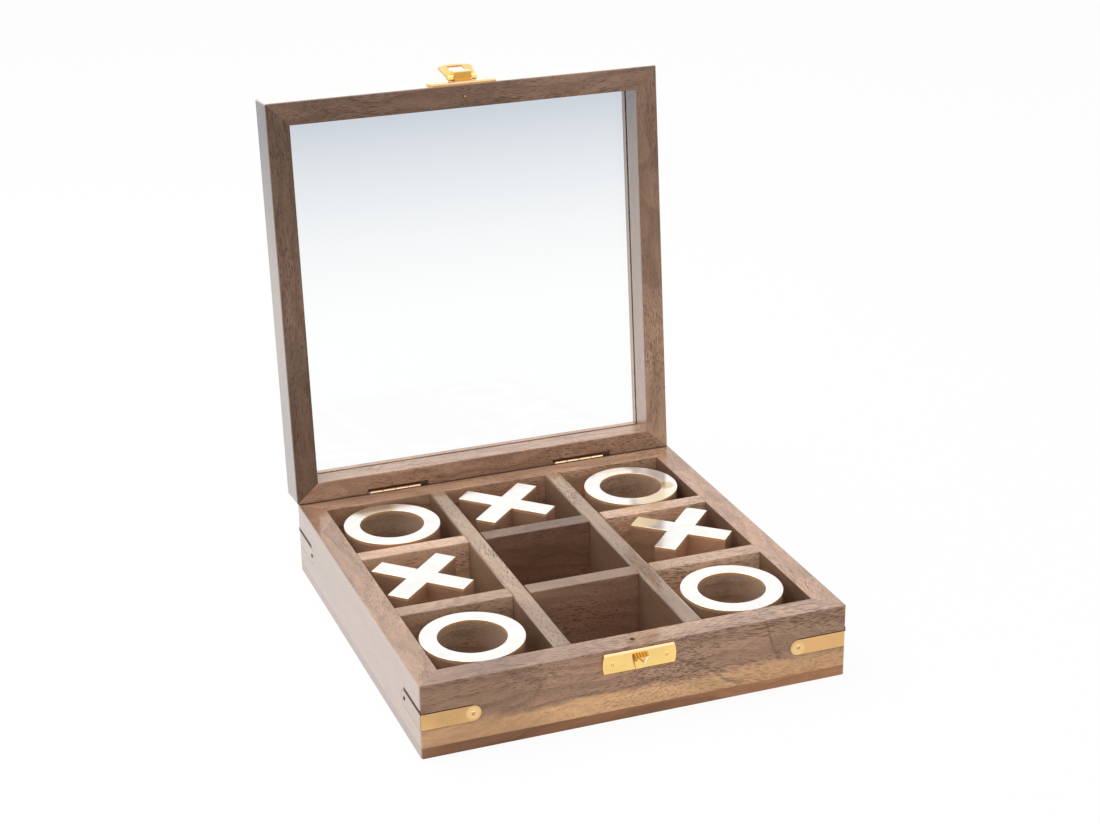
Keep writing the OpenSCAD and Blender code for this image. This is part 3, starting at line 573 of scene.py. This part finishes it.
def shade_strip(space, way, start, foot):
    """1 in the thin strip of a seam's painted shade: behind a plane, from a height up to the top of the
    seam.
    """
    beyond = vector_node("DOT_PRODUCT", space, way, "Value")
    height = parts_of(space)[2]
    deep = remap(beyond, start, start + 0.1)
    deep = deep * remap(beyond, start + SEAM_SHADE_DEEP + 0.1, start + SEAM_SHADE_DEEP)
    return deep * remap(height, SEAM_SHADE_TOP + 0.2, SEAM_SHADE_TOP) * remap(height, foot - 0.1, foot)


def grey(level):
    return add(level.tree, "CombineXYZ", {0: level, 1: level, 2: level})


def light_tint(level):
    """A factor for a colour under painted light, paler as the level brightens it."""
    parts = [level ** power for power in LIGHT_POWERS]
    return add(level.tree, "CombineXYZ", dict(enumerate(parts)))


def brass(name, base, rough, coat=0.0, corner_shade=0.85, cloud_size=8.0, clouds=0.16):
    """Polished brass with fine rubbed scratches and painted shade in its corners."""
    material, tree, shader = new_material(name)
    space = grain_space(tree)
    rubbed = noise(stretched(space, along=0.3, across=4.0), detail=4, rough=0.7)
    cloud = noise(stretched(space, 1 / cloud_size, 1 / cloud_size), detail=3)
    tint = blend_colours(remap(cloud, 0.4, 0.7) * clouds, base, dimmed(base, 0.5))

    # Painted shade: brown is laid where two faces meet in a corner, where shade falls
    if corner_shade:
        corner = add(tree, "AmbientOcclusion", {"Distance": 0.0012}, "AO", samples=8)
        crease_shade = remap(corner, 0.85, 0.45) * corner_shade
        tint = blend_colours(crease_shade, tint, settings("brass").corner_shade_colour)
    fill(shader, {
        "Base Color": tint,
        "Roughness": remap(rubbed, 0.3, 0.75, rough, rough + 0.06),
        "Normal": bump(rubbed, strength=0.03, depth=0.0001),
        "Metallic": 1.0,
        "Coat Weight": coat,
        "Coat IOR": 1.6,
    })
    return material


def facing(tree, way, low, high):
    """1 on faces that look along a direction."""
    normal = add(tree, "NewGeometry", {}, "True Normal")
    agree = vector_node("DOT_PRODUCT", normal, Vector(way).normalized(), "Value")
    return remap(agree, low, high, smooth=True)


def tint_where(material, factor, tint):
    """Lays another colour over a material's own where the factor is 1."""
    tint = blend_colours(factor, source_of(material, "Base Color"), tint)
    fill(shader_of(material), {"Base Color": tint})


def tint_facing(material, *tints):
    """Lays colours over faces by direction: each tint is a direction, two limits and a colour."""
    for way, low, high, tint in tints:
        tint_where(material, facing(material.node_tree, way, low, high), tint)
    return material


def catch_gold(look):
    """The catch's brass, with painted reflections on the beak: dark and bright parts of the studio are
    painted on its faces.
    """
    material = brass("catch_gold", look.gold, look.polish)
    tree = material.node_tree
    across, away, up = parts_of(grain_space(tree))
    beyond = remap(away, BEAK_START, BEAK_START - 0.05)

    # Painted reflection: the brow on top is painted deep gold, with short dark teeth
    teeth = remap(calculate(tree, "SINE", across * 5.2), -0.3, 0.5)
    brow = blend_colours(teeth, look.beak_brow, look.beak_teeth)

    # The pointed front face is painted tan, with a painted highlight along its right edge and painted
    # shade along its left
    down = remap(up, BEAK_TOP, BEAK_POINT)
    over = (across - 0.1) / 2.4
    left_edge = remap(down - over, 0.62, 0.9, smooth=True)
    right_edge = remap(down + over, 0.5, 0.85, smooth=True)
    face = blend_colours(left_edge, look.beak_face, look.beak_shade_edge)
    face = blend_colours(right_edge, face, look.beak_highlight)

    # Painted shade: the side that looks left is painted dark at its root
    shade = remap(away, BEAK_ROOT, BEAK_TIP)
    side = blend_colours(shade, look.beak_root_shade, look.beak_side)
    for way, low, high, tint in (
        ((0, -0.48, 0.88), 0.93, 0.97, brow),
        ((0, -0.76, 0.65), 0.93, 0.97, face),
        ((-0.84, -0.55, 0), 0.95, 0.98, side),
    ):
        tint_where(material, facing(tree, way, low, high) * beyond, tint)
    # Painted highlight on the bevels of the plate
    bevels = facing(tree, (0, -0.7, 0.7), 0.93, 0.98) * (1 - beyond)
    tint_where(material, bevels, look.sheen)
    return material


def bracket_brass(look):
    """Satin brass of the brackets, with its own tint round the pins and painted shade on the side legs.
    """
    material = brass(
        "satin_brackets", look.bracket, look.polish + 0.12, coat=1.0, cloud_size=16, clouds=0.5
    )
    tree = material.node_tree
    across, _, up = parts_of(grain_space(tree))

    # Squared distance from a pin, in millimetres
    pin_out, pin_up = 68.9, 15.8
    away = (abs(across) - pin_out) ** 2 + (up - pin_up) ** 2
    tint_where(material, remap(away, 12, 3, smooth=True), look.bracket_pin)
    # Painted shade: the legs on the left and right walls are painted darker
    sides = [((way, 0, 0), 0.6, 0.85, look.bracket_side_shade) for way in (-1, 1)]
    return tint_facing(material, *sides)


def cap_metal():
    """The caps' brass, made once and shared by rings and crosses, with painted reflections on its tops
    and upright faces.
    """
    name = "pale_cap_metal"
    if name in bpy.data.materials:
        return bpy.data.materials[name]
    look = settings("brass")
    material = brass(name, look.cap, look.polish, corner_shade=0.0)
    tree = material.node_tree

    # Painted reflections: the thin upright faces are painted gold, as they mirror the warm wood, and the
    # tops are painted pale, as they mirror the bright studio
    up = parts_of(add(tree, "NewGeometry", {}, "Normal"))[2]
    flat = remap(abs(up), 0.5, 0.8, smooth=True)
    top_colour = source_of(material, "Base Color")
    mirrors = remap(flat, 0, 1, 0.25, 0.7)
    # Painted reflections of what the tops mirror, in patches
    for middle, radius, dulled, rgb in CAP_GLEAMS:
        near = remap(distance_from(tree, middle), radius, radius * 0.55, smooth=True)
        top_colour = blend_colours(near, top_colour, rgb)
        mirrors = mirrors * remap(near, 0, 1, 1, 1 - dulled)

    # For light on its way to the wood the caps are plain white, which lights the cells
    fill(shader_of(material), {
        "Base Color": blend_colours(flat, look.cap_side, top_colour),
        "Metallic": mirrors * (1 - ray(tree, "Diffuse")),
    })
    return material


def distance_from(tree, middle):
    """Distance on the level from a point (x, y), in millimetres."""
    across, away, _ = parts_of(grain_space(tree, shift=(-middle[0], -middle[1], 0)))
    return calculate(tree, "SQRT", across ** 2 + away ** 2)


def shade_bore(material, low, high):
    """Cools the colour and thins the coat of the bore of a ring whose box is given."""
    middle = [(low[way] + high[way]) / 2 * 1000 for way in (0, 1)]
    inner = remap(distance_from(material.node_tree, middle), *BORE_EDGE)
    cooler = scale_colour(source_of(material, "Base Color"), (0.96, 1.13, 1.24))
    tint_where(material, inner, cooler)
    weight = source_of(material, "Coat Weight") * remap(inner, 0, 1, 1, 0.35)
    fill(shader_of(material), {"Coat Weight": weight})


def shade_wood(name):
    """Dark wood with no coat, for painted shade: in an open joint, at the ends of the hinges' notches and
    round a hole.
    """
    gap_shade = settings("wood").gap_shade
    material = walnut(name, ALONG_X, (0, 0, 0), base=gap_shade, pores=0.3, top=0.0, side=0.0)
    shader = shader_of(material)
    material.node_tree.links.remove(shader.inputs["Coat Weight"].links[0])
    fill(shader, {"Coat Weight": 0.0, "Specular IOR Level": 0.05})
    return material


def clear_glass(name):
    """Window glass that lets light pass straight through to what lies below."""
    material, tree, shader = new_material(name)
    smear = noise(stretched(grain_space(tree), along=0.02, across=0.03), detail=3)
    fill(shader, {
        "Base Color": (0.985, 0.995, 0.992),
        "Transmission Weight": 1.0,
        "IOR": 1.25,
        "Roughness": remap(smear, 0.45, 0.75, 0, 0.02),
    })
    clear = add(tree, "BsdfTransparent", {"Color": (0.94, 0.95, 0.95)})
    show_mix(ray(tree, "Shadow"), shader, clear)
    return material


def show_mix(factor, shader, other):
    """Shows a mix of a material's own shader and another one."""
    tree = factor.tree
    own = Level(tree, shader.outputs[0])
    mix = add(tree, "MixShader", {0: factor, 1: own, 2: other})
    fill(tree.nodes["Material Output"], {0: mix})


def finish_node(name, material):
    """Gives a piece of the frame its material."""
    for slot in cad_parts[name].material_slots:
        slot.material = material


def board(node, name, turn, shift, **figure):
    """Gives a wooden piece of the frame its own walnut."""
    material = walnut(name, turn, shift, run=LIGHT_RUNS.get(node), top_light=TOP_LIGHTS.get(node), **figure)
    finish_node(node, material)


# Modelling helpers


def start_alone():
    if bpy.context.object and bpy.context.object.mode != "OBJECT":
        bpy.ops.object.mode_set(mode="OBJECT")
    bpy.ops.object.select_all(action="DESELECT")


def select_all():
    bpy.ops.mesh.select_all(action="SELECT")


def open_at_size(size):
    """Scales the primitive that was just added, fixes its place and opens it for editing."""
    piece = bpy.context.object
    piece.scale = size
    bpy.ops.object.transform_apply(location=True, rotation=True, scale=True)
    bpy.ops.object.mode_set(mode="EDIT")
    return piece


def block(middle, size):
    start_alone()
    bpy.ops.mesh.primitive_cube_add(size=1, location=middle)
    return open_at_size(size)


def close_outwards():
    """Turns all faces of the open piece outwards and ends its editing."""
    select_all()
    bpy.ops.mesh.normals_make_consistent(inside=False)
    bpy.ops.object.mode_set(mode="OBJECT")


def soften(piece, edge, segments):
    """Rounds a piece's sharp edges."""
    rounding = piece.modifiers.new("Soft edges", "BEVEL")
    rounding.width = edge
    rounding.segments = segments
    rounding.limit_method = "ANGLE"
    bpy.ops.object.modifier_apply(modifier=rounding.name)


def choose(piece, kind, test):
    """In edit mode, selects only the faces or edges whose middle and normal pass the test."""
    bpy.ops.mesh.select_mode(type=kind)
    bpy.ops.mesh.select_all(action="DESELECT")
    bpy.ops.object.mode_set(mode="OBJECT")
    mesh = piece.data
    if kind == "FACE":
        for face in mesh.polygons:
            face.select = test(face.center, face.normal)
    else:
        for edge in mesh.edges:
            a, b = (mesh.vertices[i].co for i in edge.vertices)
            edge.select = test((a + b) / 2, (b - a).normalized())
    bpy.ops.object.mode_set(mode="EDIT")


def push_arm(piece, middle, way, reach, limit):
    """Extrudes the face of a block that looks along a direction, unless it lies off the middle."""
    across = Vector((way.y, way.x, 0))
    choose(
        piece, "FACE",
        lambda spot, normal: normal.dot(way) > 0.9 and abs((spot - middle).dot(across)) < limit,
    )
    bpy.ops.mesh.extrude_region_move(TRANSFORM_OT_translate={"value": way * reach})


def hand_over(piece, name, material, body, *replaced):
    """Names a finished piece, fixes its place in its mesh and joins it to the frame."""
    start_alone()
    piece.select_set(True)
    bpy.context.view_layer.objects.active = piece
    bpy.ops.object.transform_apply(location=True, rotation=True, scale=True)
    bpy.ops.object.shade_smooth_by_angle(angle=radians(40))
    even = piece.modifiers.new("Even shading", "WEIGHTED_NORMAL")
    even.keep_sharp = True
    bpy.ops.object.modifier_apply(modifier=even.name)
    piece.name = name
    piece.data.name = name
    piece.data.materials.clear()
    piece.data.materials.append(material)
    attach(piece, body)
    if replaced:
        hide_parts(*replaced)


def ring_piece(centre, outer, inner, low, high, edge, steps=128):
    """A band with rounded edges: its section is bevelled, then spun round the middle."""
    start_alone()
    middle = Vector(((outer + inner) / 2, 0, (low + high) / 2))
    bpy.ops.mesh.primitive_plane_add(
        size=1, location=centre + middle, rotation=(radians(90), 0, 0)
    )
    piece = open_at_size((outer - inner, high - low, 1))
    select_all()
    bpy.ops.mesh.bevel(offset=edge, segments=3, affect="VERTICES")
    select_all()
    bpy.ops.mesh.spin(steps=steps, angle=radians(360), center=centre, axis=(0, 0, 1))
    select_all()
    bpy.ops.mesh.remove_doubles(threshold=1e-6)
    bpy.ops.mesh.delete_loose()

    # The spin leaves the section's own face, the only one with many sides, inside the band
    bpy.ops.mesh.select_mode(type="FACE")
    bpy.ops.mesh.select_face_by_sides(number=4, type="GREATER", extend=False)
    bpy.ops.mesh.delete(type="FACE")
    close_outwards()
    return piece


def cross_piece(centre, half, arm, turn, low, high, edge):
    """A cross: four arms pushed out of a middle block, turned and softened."""
    piece = block(centre + Vector((0, 0, (low + high) / 2)), (arm, arm, high - low))
    for way in ((1, 0, 0), (-1, 0, 0), (0, 1, 0), (0, -1, 0)):
        push_arm(piece, centre, Vector(way), half - arm / 2, arm / 4)
    select_all()
    bpy.ops.transform.rotate(value=-turn, orient_axis="Z", center_override=centre)
    close_outwards()
    soften(piece, edge, 3)
    return piece


def make_body_and_cap(kind, place, wood, shape):
    """Models a ring's or a cross's wooden body and brass cap, each in its node's box."""
    sizes = settings("pieces")
    parts = (("body", wood, sizes.wood_edge), ("cap", cap_metal(), sizes.soft_edge))
    for part, material, edge in parts:
        node = "%s_%s_%s" % (kind, part, place)
        low, high = map(Vector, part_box(node))
        middle = Vector(((low.x + high.x) / 2, (low.y + high.y) / 2, 0))
        piece = shape(middle, (high.x - low.x) / 2, low.z, high.z, edge)
        hand_over(piece, node + "_shown", material, "%s_%s" % (kind, place), node)
        "piece_wood" if part == "body" else "cap_brass"


def bracket_corners(sizes):
    """Each corner of the box: its signs in X and Y and the height of its bracket's middle."""
    for x in (-1, 1):
        for y in (-1, 1):
            yield x, y, sizes.bracket_level + (sizes.bracket_raise if (x, y) == (1, -1) else 0)


# Operators, one for each group of like pieces


class GAMEBOX_OT_dress_base(bpy.types.Operator):
    """Finish the walls, bottom panel and dividers in walnut"""

    bl_idname = "gamebox.dress_base"
    bl_label = "Dress the base"

    def execute(self, context):
        wood = settings("wood")
        # Painted shade in the joint under the lid, along the back wall's top
        rim_shade = ((0, 1, 0), 88.4, 31.3, 0.8)
        board(
            "wall_front", "walnut_front", ALONG_X, (0, 13, 0),
            sapwood=True, pores=1.15, crowding=0.7, lines=FRONT_VEINS,
        )
        board("wall_back", "walnut_back", ALONG_X, (170, 4, 31), top=0.3, seam=rim_shade)
        board("wall_left", "walnut_left", ALONG_Y, (340, 21, 12), flank=0.85)
        board("wall_right", "walnut_right", ALONG_Y, (510, -9, 3), tone=1.4, side=0.45, flank=0.42)
        board("bottom_panel", "panel_wood", ALONG_X, (90, 7, 55), base=wood.panel, pores=0.3)
        for i, side in enumerate(("left", "right")):
            board(
                "long_divider_" + side, "divider_long_" + side, ALONG_Y, (700 + 90 * i, 6, 9),
                base=wood.long_divider, pores=1.25, flank=0.62,
            )
        for i, (side, base) in enumerate((("rear", wood.rear_divider), ("front", wood.front_divider))):
            board(
                "cross_divider_" + side, "divider_cross_" + side, ALONG_X, (900 + 90 * i, 2, 17),
                base=base, top=0.3,
            )
        return {"FINISHED"}


class GAMEBOX_OT_dress_lid(bpy.types.Operator):
    """Finish the lid's frame in walnut and its pane in clear glass"""

    bl_idname = "gamebox.dress_lid"
    bl_label = "Dress the lid"

    def execute(self, context):
        board("lid_rail_front", "lid_walnut_front", ALONG_X, (60, 5, 8), tone=0.62, top=1.0)

        # The hinge rail leans back from its foot, and the painted shade of its seam starts just behind
        # its front
        slope = math.tan(LID_LEAN)
        foot_out, foot_up, behind = 90.6, 31.1, 0.3
        seam = ((0, 1, -slope), foot_out - foot_up * slope + behind, 30, 2.2)
        board(
            "lid_rail_hinge", "lid_walnut_hinge", ALONG_X, (290, 5, 8), tone=1.05, top=0.3, seam=seam
        )
        for i, side in enumerate(("left", "right")):
            board(
                "lid_stile_" + side, "lid_stile_walnut_" + side, ALONG_STILE, (400 + 130 * i, 15, 22),
                tone=0.5 + 0.28 * i, flank=1 - 0.28 * i,
            )
        finish_node("glass_pane", clear_glass("window_glass"))
        return {"FINISHED"}


class GAMEBOX_OT_dress_fittings(bpy.types.Operator):
    """Finish the brackets, catch, hasp and hinges in polished brass"""

    bl_idname = "gamebox.dress_fittings"
    bl_label = "Dress the fittings"

    def execute(self, context):
        look = settings("brass")
        gold = brass("gold_fittings", look.gold, look.polish, corner_shade=0.3)
        hinges = brass("hinge_brass", look.hinge, look.polish)
        finishes = {
            "hinge": tint_facing(hinges, ((0, -1, -0.2), 0.6, 0.75, look.hinge_shade)),
            "catch": gold,
            "hasp": gold,
            "locating": brass("dull_pin", dimmed(look.bracket, 0.6), look.polish + 0.3),
            "corner_bracket": bracket_brass(look),
        }
        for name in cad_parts:
            for start, material in finishes.items():
                if name.startswith(start):
                    finish_node(name, material)
        finish_node("catch_plate", catch_gold(look))

        # Painted shade: the front of the hasp's folded loop is painted ochre, and its top bevels get a
        # painted highlight
        hasp = tint_facing(
            brass("hasp_brass", look.gold, look.polish),
            ((0, -1, 0), 0.6, 0.85, look.loop_front_shade), ((0, -0.7, 0.7), 0.9, 0.97, look.sheen),
        )
        finish_node("hasp_plate", hasp)
        pins = brass("pin_brass", look.bracket_pin, look.polish + 0.08)
        # Painted shade: pin heads that look left or right are painted dark
        marks = [((way, 0, 0), 0.4, 0.7, look.mark) for way in (-1, 1)]
        finish_node("bracket_pins", tint_facing(pins, *marks))
        return {"FINISHED"}


class GAMEBOX_OT_mark_pins(bpy.types.Operator):
    """Model dark rings of painted shade in the grooves round the pins' heads, and a rim of painted shade
    round the dowel hole
    """

    bl_idname = "gamebox.mark_pins"
    bl_label = "Mark the pins"

    def execute(self, context):
        sizes = settings("pieces")
        look = settings("brass")
        # Painted shade: dark rings in the grooves round the brackets' pins, faint ones round the catch's
        # pins
        dark = brass("dark_mark", look.mark, 0.4, coat=0.2)
        faint = brass("faint_mark", look.faint_mark, 0.3)
        out, far = sizes.half_width, sizes.bracket_pin
        pin_inset, plate_depth = 0.0011, 0.0003
        places = []
        for x, y, up in bracket_corners(sizes):
            places.append(((x * far, y * out, up), (0, y, 0), dark))
            places.append(((x * out, y * far, up), (x, 0, 0), dark))
        low, high = map(Vector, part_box("catch_plate_pins"))
        for x in (low.x + pin_inset, high.x - pin_inset):
            places.append(((x, low.y + plate_depth, (low.z + high.z) / 2), (0, -1, 0), faint))
        radius = sizes.mark_radius
        for i, (place, way, material) in enumerate(places):
            piece = ring_piece(
                Vector((0, 0, 0)), outer=radius, inner=radius * 0.62,
                low=0.00014, high=0.00029, edge=0.00004, steps=48,
            )
            piece.rotation_euler = Vector(way).to_track_quat("Z", "Y").to_euler()
            piece.location = place
            hand_over(piece, "pin_mark_%d" % (i + 1), material, BASE)
        # Painted shade: a dark rim round the dowel hole widens the hole's shade
        rim = ring_piece(
            Vector((-0.001, -0.08475, 0)), outer=0.00105, inner=0.00072,
            low=0.03145, high=0.03152, edge=0.00002, steps=48,
        )
        hand_over(rim, "dowel_hole_rim", shade_wood("hole_rim_wood"), BASE)
        return {"FINISHED"}


class GAMEBOX_OT_fill_notches(bpy.types.Operator):
    """Model dark blocks of painted shade behind the ends of the hinges' notches"""

    bl_idname = "gamebox.fill_notches"
    bl_label = "Fill the notches"

    def execute(self, context):
        sizes = settings("pieces")
        # Painted shade: dark blocks at the notches' ends, where there is only shade
        material = shade_wood("notch_wood")
        deep, tall, middle_up = sizes.notch_shade_block, 0.00145, 0.030725
        gap, near_reach, far_reach = 0.0001, 0.0012, 0.0044
        for side in ("left", "right"):
            low, high = map(Vector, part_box("hinge_pin_" + side))
            for end, start, stop in (
                ("near", low.x - near_reach, low.x - gap),
                ("far", high.x + gap, high.x + far_reach),
            ):
                middle = Vector(((start + stop) / 2, sizes.half_width + deep / 2, middle_up))
                piece = block(middle, (stop - start, deep, tall))
                choose(
                    piece, "EDGE",
                    lambda spot, way: abs(way.x) > 0.9 and spot.y > middle.y and spot.z < middle.z,
                )
                bpy.ops.mesh.bevel(offset=deep * 0.15, segments=3)
                close_outwards()
                hand_over(piece, "notch_block_%s_%s" % (side, end), material, BASE)
        return {"FINISHED"}


class GAMEBOX_OT_line_brackets(bpy.types.Operator):
    """Model a painted shadow line in the open joint along the top of each bracket"""

    bl_idname = "gamebox.line_brackets"
    bl_label = "Line the brackets"

    def execute(self, context):
        sizes = settings("pieces")
        # Painted shadow: a dark line in the gap above each bracket
        material = shade_wood("joint_line_wood")
        proud, deep, tall = 0.00003, 0.0001, sizes.joint_shadow_line
        out = sizes.half_width + proud - deep / 2
        for x, y, up in bracket_corners(sizes):
            corner = Vector((x * out, y * out, up + sizes.bracket_half + tall / 2))
            piece = block(corner, (deep, deep, tall))
            for way in ((-x, 0, 0), (0, -y, 0)):
                push_arm(piece, corner, Vector(way), sizes.joint_reach, deep)

            # The leg that runs back from the corner is taller
            choose(piece, "FACE", lambda spot, normal: normal.z > 0.9 and abs(spot.y - corner.y) > deep)
            bpy.ops.mesh.extrude_region_move(TRANSFORM_OT_translate={"value": (0, 0, sizes.joint_rise)})
            close_outwards()
            soften(piece, deep * 0.2, 2)
            side = ("back" if y > 0 else "front") + ("_right" if x > 0 else "_left")
            hand_over(piece, "joint_line_" + side, material, BASE)
        return {"FINISHED"}


class GAMEBOX_OT_make_rings(bpy.types.Operator):
    """Model the wooden rings and their brass caps"""

    bl_idname = "gamebox.make_rings"
    bl_label = "Make the rings"

    def execute(self, context):
        band = settings("pieces").ring_band

        def ring(middle, reach, low, high, edge):
            return ring_piece(middle, reach, reach - band, low, high, edge)

        for i, place in enumerate(RINGS):
            wood = walnut("ring_walnut_" + place, ALONG_X, (120 * i, 9, 4), tone=1.3)
            shade_bore(wood, *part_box("ring_body_" + place))
            make_body_and_cap("ring", place, wood, ring)
        return {"FINISHED"}


class GAMEBOX_OT_make_crosses(bpy.types.Operator):
    """Model the wooden crosses and their brass caps"""

    bl_idname = "gamebox.make_crosses"
    bl_label = "Make the crosses"

    def execute(self, context):
        sizes = settings("pieces")
        arm = sizes.arm_width
        for i, place in enumerate(CROSSES):
            turn = sizes.cross_right_turn if place == "right" else sizes.cross_turn

            def cross(middle, reach, low, high, edge):
                half = (reach - arm / 2 * abs(math.sin(turn))) / abs(math.cos(turn))
                return cross_piece(middle, half, arm, turn, low, high, edge)

            wood = walnut("cross_walnut_" + place, ALONG_X, (77 + 120 * i, 3, 14), tone=1.3)
            make_body_and_cap("cross", place, wood, cross)
        return {"FINISHED"}


class GAMEBOX_OT_set_studio(bpy.types.Operator):
    """Set the camera, the white floor, the lamps and the world"""

    bl_idname = "gamebox.set_studio"
    bl_label = "Set the studio"

    def execute(self, context):
        studio = settings("studio")
        context.scene.view_settings.view_transform = "Standard"
        self.place_camera(context, studio)
        self.lay_floor(studio)
        self.hang_lamp("key_lamp", studio.key, size=0.9, place=(-0.35, 0.25, 1.0))
        self.hang_lamp("side_lamp", studio.fill, size=0.6, place=(-0.9, -0.1, 0.45))
        self.light_world(context, studio)
        return {"FINISHED"}

    def place_camera(self, context, studio):
        camera = bpy.data.objects.new("photo_camera", bpy.data.cameras.new("photo_camera"))
        context.scene.collection.objects.link(camera)
        camera.data.lens = studio.focal
        camera.data.sensor_width = 36
        camera.data.clip_start = 0.01
        camera.matrix_world = (
            Matrix.Translation(studio.place)
            @ Matrix.Rotation(-studio.bearing, 4, "Z")
            @ Matrix.Rotation(radians(90) - studio.tilt, 4, "X")
            @ Matrix.Rotation(studio.roll, 4, "Z")
        )
        context.scene.camera = camera

    def lay_floor(self, studio):
        start_alone()
        bpy.ops.mesh.primitive_circle_add(
            vertices=96, radius=studio.floor_size / 2, fill_type="NGON", location=(0, 0, -0.0002)
        )
        floor = bpy.context.object
        floor.name = "floor"
        material, tree, shader = new_material("white_floor")
        fill(shader, {"Base Color": studio.floor_colour, "Roughness": 0.9})
        glow = add(tree, "Emission", {"Color": backdrop_colour(tree, studio)})
        show_mix(seen_directly(tree) * (1 - studio.shadow), shader, glow)
        floor.data.materials.append(material)

    def hang_lamp(self, name, power, size, place):
        lamp = bpy.data.objects.new(name, bpy.data.lights.new(name, "AREA"))
        bpy.context.scene.collection.objects.link(lamp)
        lamp.data.energy = power
        lamp.data.size = size
        lamp.location = place
        aim = Vector((0, 0, 0.03)) - Vector(place)
        lamp.rotation_euler = aim.to_track_quat("-Z", "Y").to_euler()

    def light_world(self, context, studio):
        world = bpy.data.worlds.new("white_studio")
        context.scene.world = world
        world.use_nodes = True
        tree = world.node_tree
        level = remap(seen_directly(tree), 0, 1, studio.ambient, 1.0)

        # Metal sees a dark ceiling straight above, and bright bands low down and high up
        mirrored = ray(tree, "Glossy")
        up = parts_of(add(tree, "TexCoord", {}, "Generated"))[2]
        for edge, full in ((0.3, 0.2), (0.6, 0.75)):
            level = level + remap(up, edge, full, smooth=True) * mirrored * studio.glare
        dark = remap(up, 0.94, 0.975, smooth=True) * mirrored
        sky = blend_colours(dark, WHITE, studio.ceiling)

        # Through the glass the haze of the far floor goes on above the horizon and fades out
        fading = remap(up, 0.3, 0.0, smooth=True) * ray(tree, "Transmission")
        sky = blend_colours(fading, sky, studio.haze)
        fill(tree.nodes["Background"], {"Color": sky, "Strength": level})


def seen_directly(tree):
    """1 for rays from the camera, and for those that metal or glass passes on."""
    direct = ray(tree, "Camera") + ray(tree, "Glossy")
    return calculate(tree, "ADD", direct, ray(tree, "Transmission"), clamp=True)


def backdrop_colour(tree, studio):
    """White, fading to haze far behind the box for rays that come through glass or off metal."""
    back = parts_of(add(tree, "TexCoord", {}, "Object"))[1]
    passed = calculate(tree, "MAXIMUM", ray(tree, "Transmission"), ray(tree, "Glossy"))
    return blend_colours(remap(back, 0.38, 0.86) ** 1.5 * passed, WHITE, studio.haze)


OPERATORS = (
    GAMEBOX_OT_dress_base,
    GAMEBOX_OT_dress_lid,
    GAMEBOX_OT_dress_fittings,
    GAMEBOX_OT_mark_pins,
    GAMEBOX_OT_line_brackets,
    GAMEBOX_OT_fill_notches,
    GAMEBOX_OT_make_rings,
    GAMEBOX_OT_make_crosses,
    GAMEBOX_OT_set_studio,
)


class GAMEBOX_PT_panel(bpy.types.Panel):
    """Lists the steps that dress the box"""

    bl_idname = "GAMEBOX_PT_panel"
    bl_label = "Tic-tac-toe box"
    bl_space_type = "VIEW_3D"
    bl_region_type = "UI"
    bl_category = "Game Box"

    def draw(self, context):
        for operator in OPERATORS:
            self.layout.operator(operator.bl_idname)


CLASSES = tuple(SETTINGS.values()) + OPERATORS + (GAMEBOX_PT_panel,)


def register():
    for entry in CLASSES:
        bpy.utils.register_class(entry)
    for name, group in SETTINGS.items():
        setattr(bpy.types.Scene, "game_box_" + name, bpy.props.PointerProperty(type=group))


def unregister():
    for name in SETTINGS:
        delattr(bpy.types.Scene, "game_box_" + name)
    for entry in reversed(CLASSES):
        bpy.utils.unregister_class(entry)


def main():
    register()
    for operator in OPERATORS:
        getattr(bpy.ops.gamebox, operator.bl_idname.split(".")[1])()


if __name__ == "__main__":
    main()
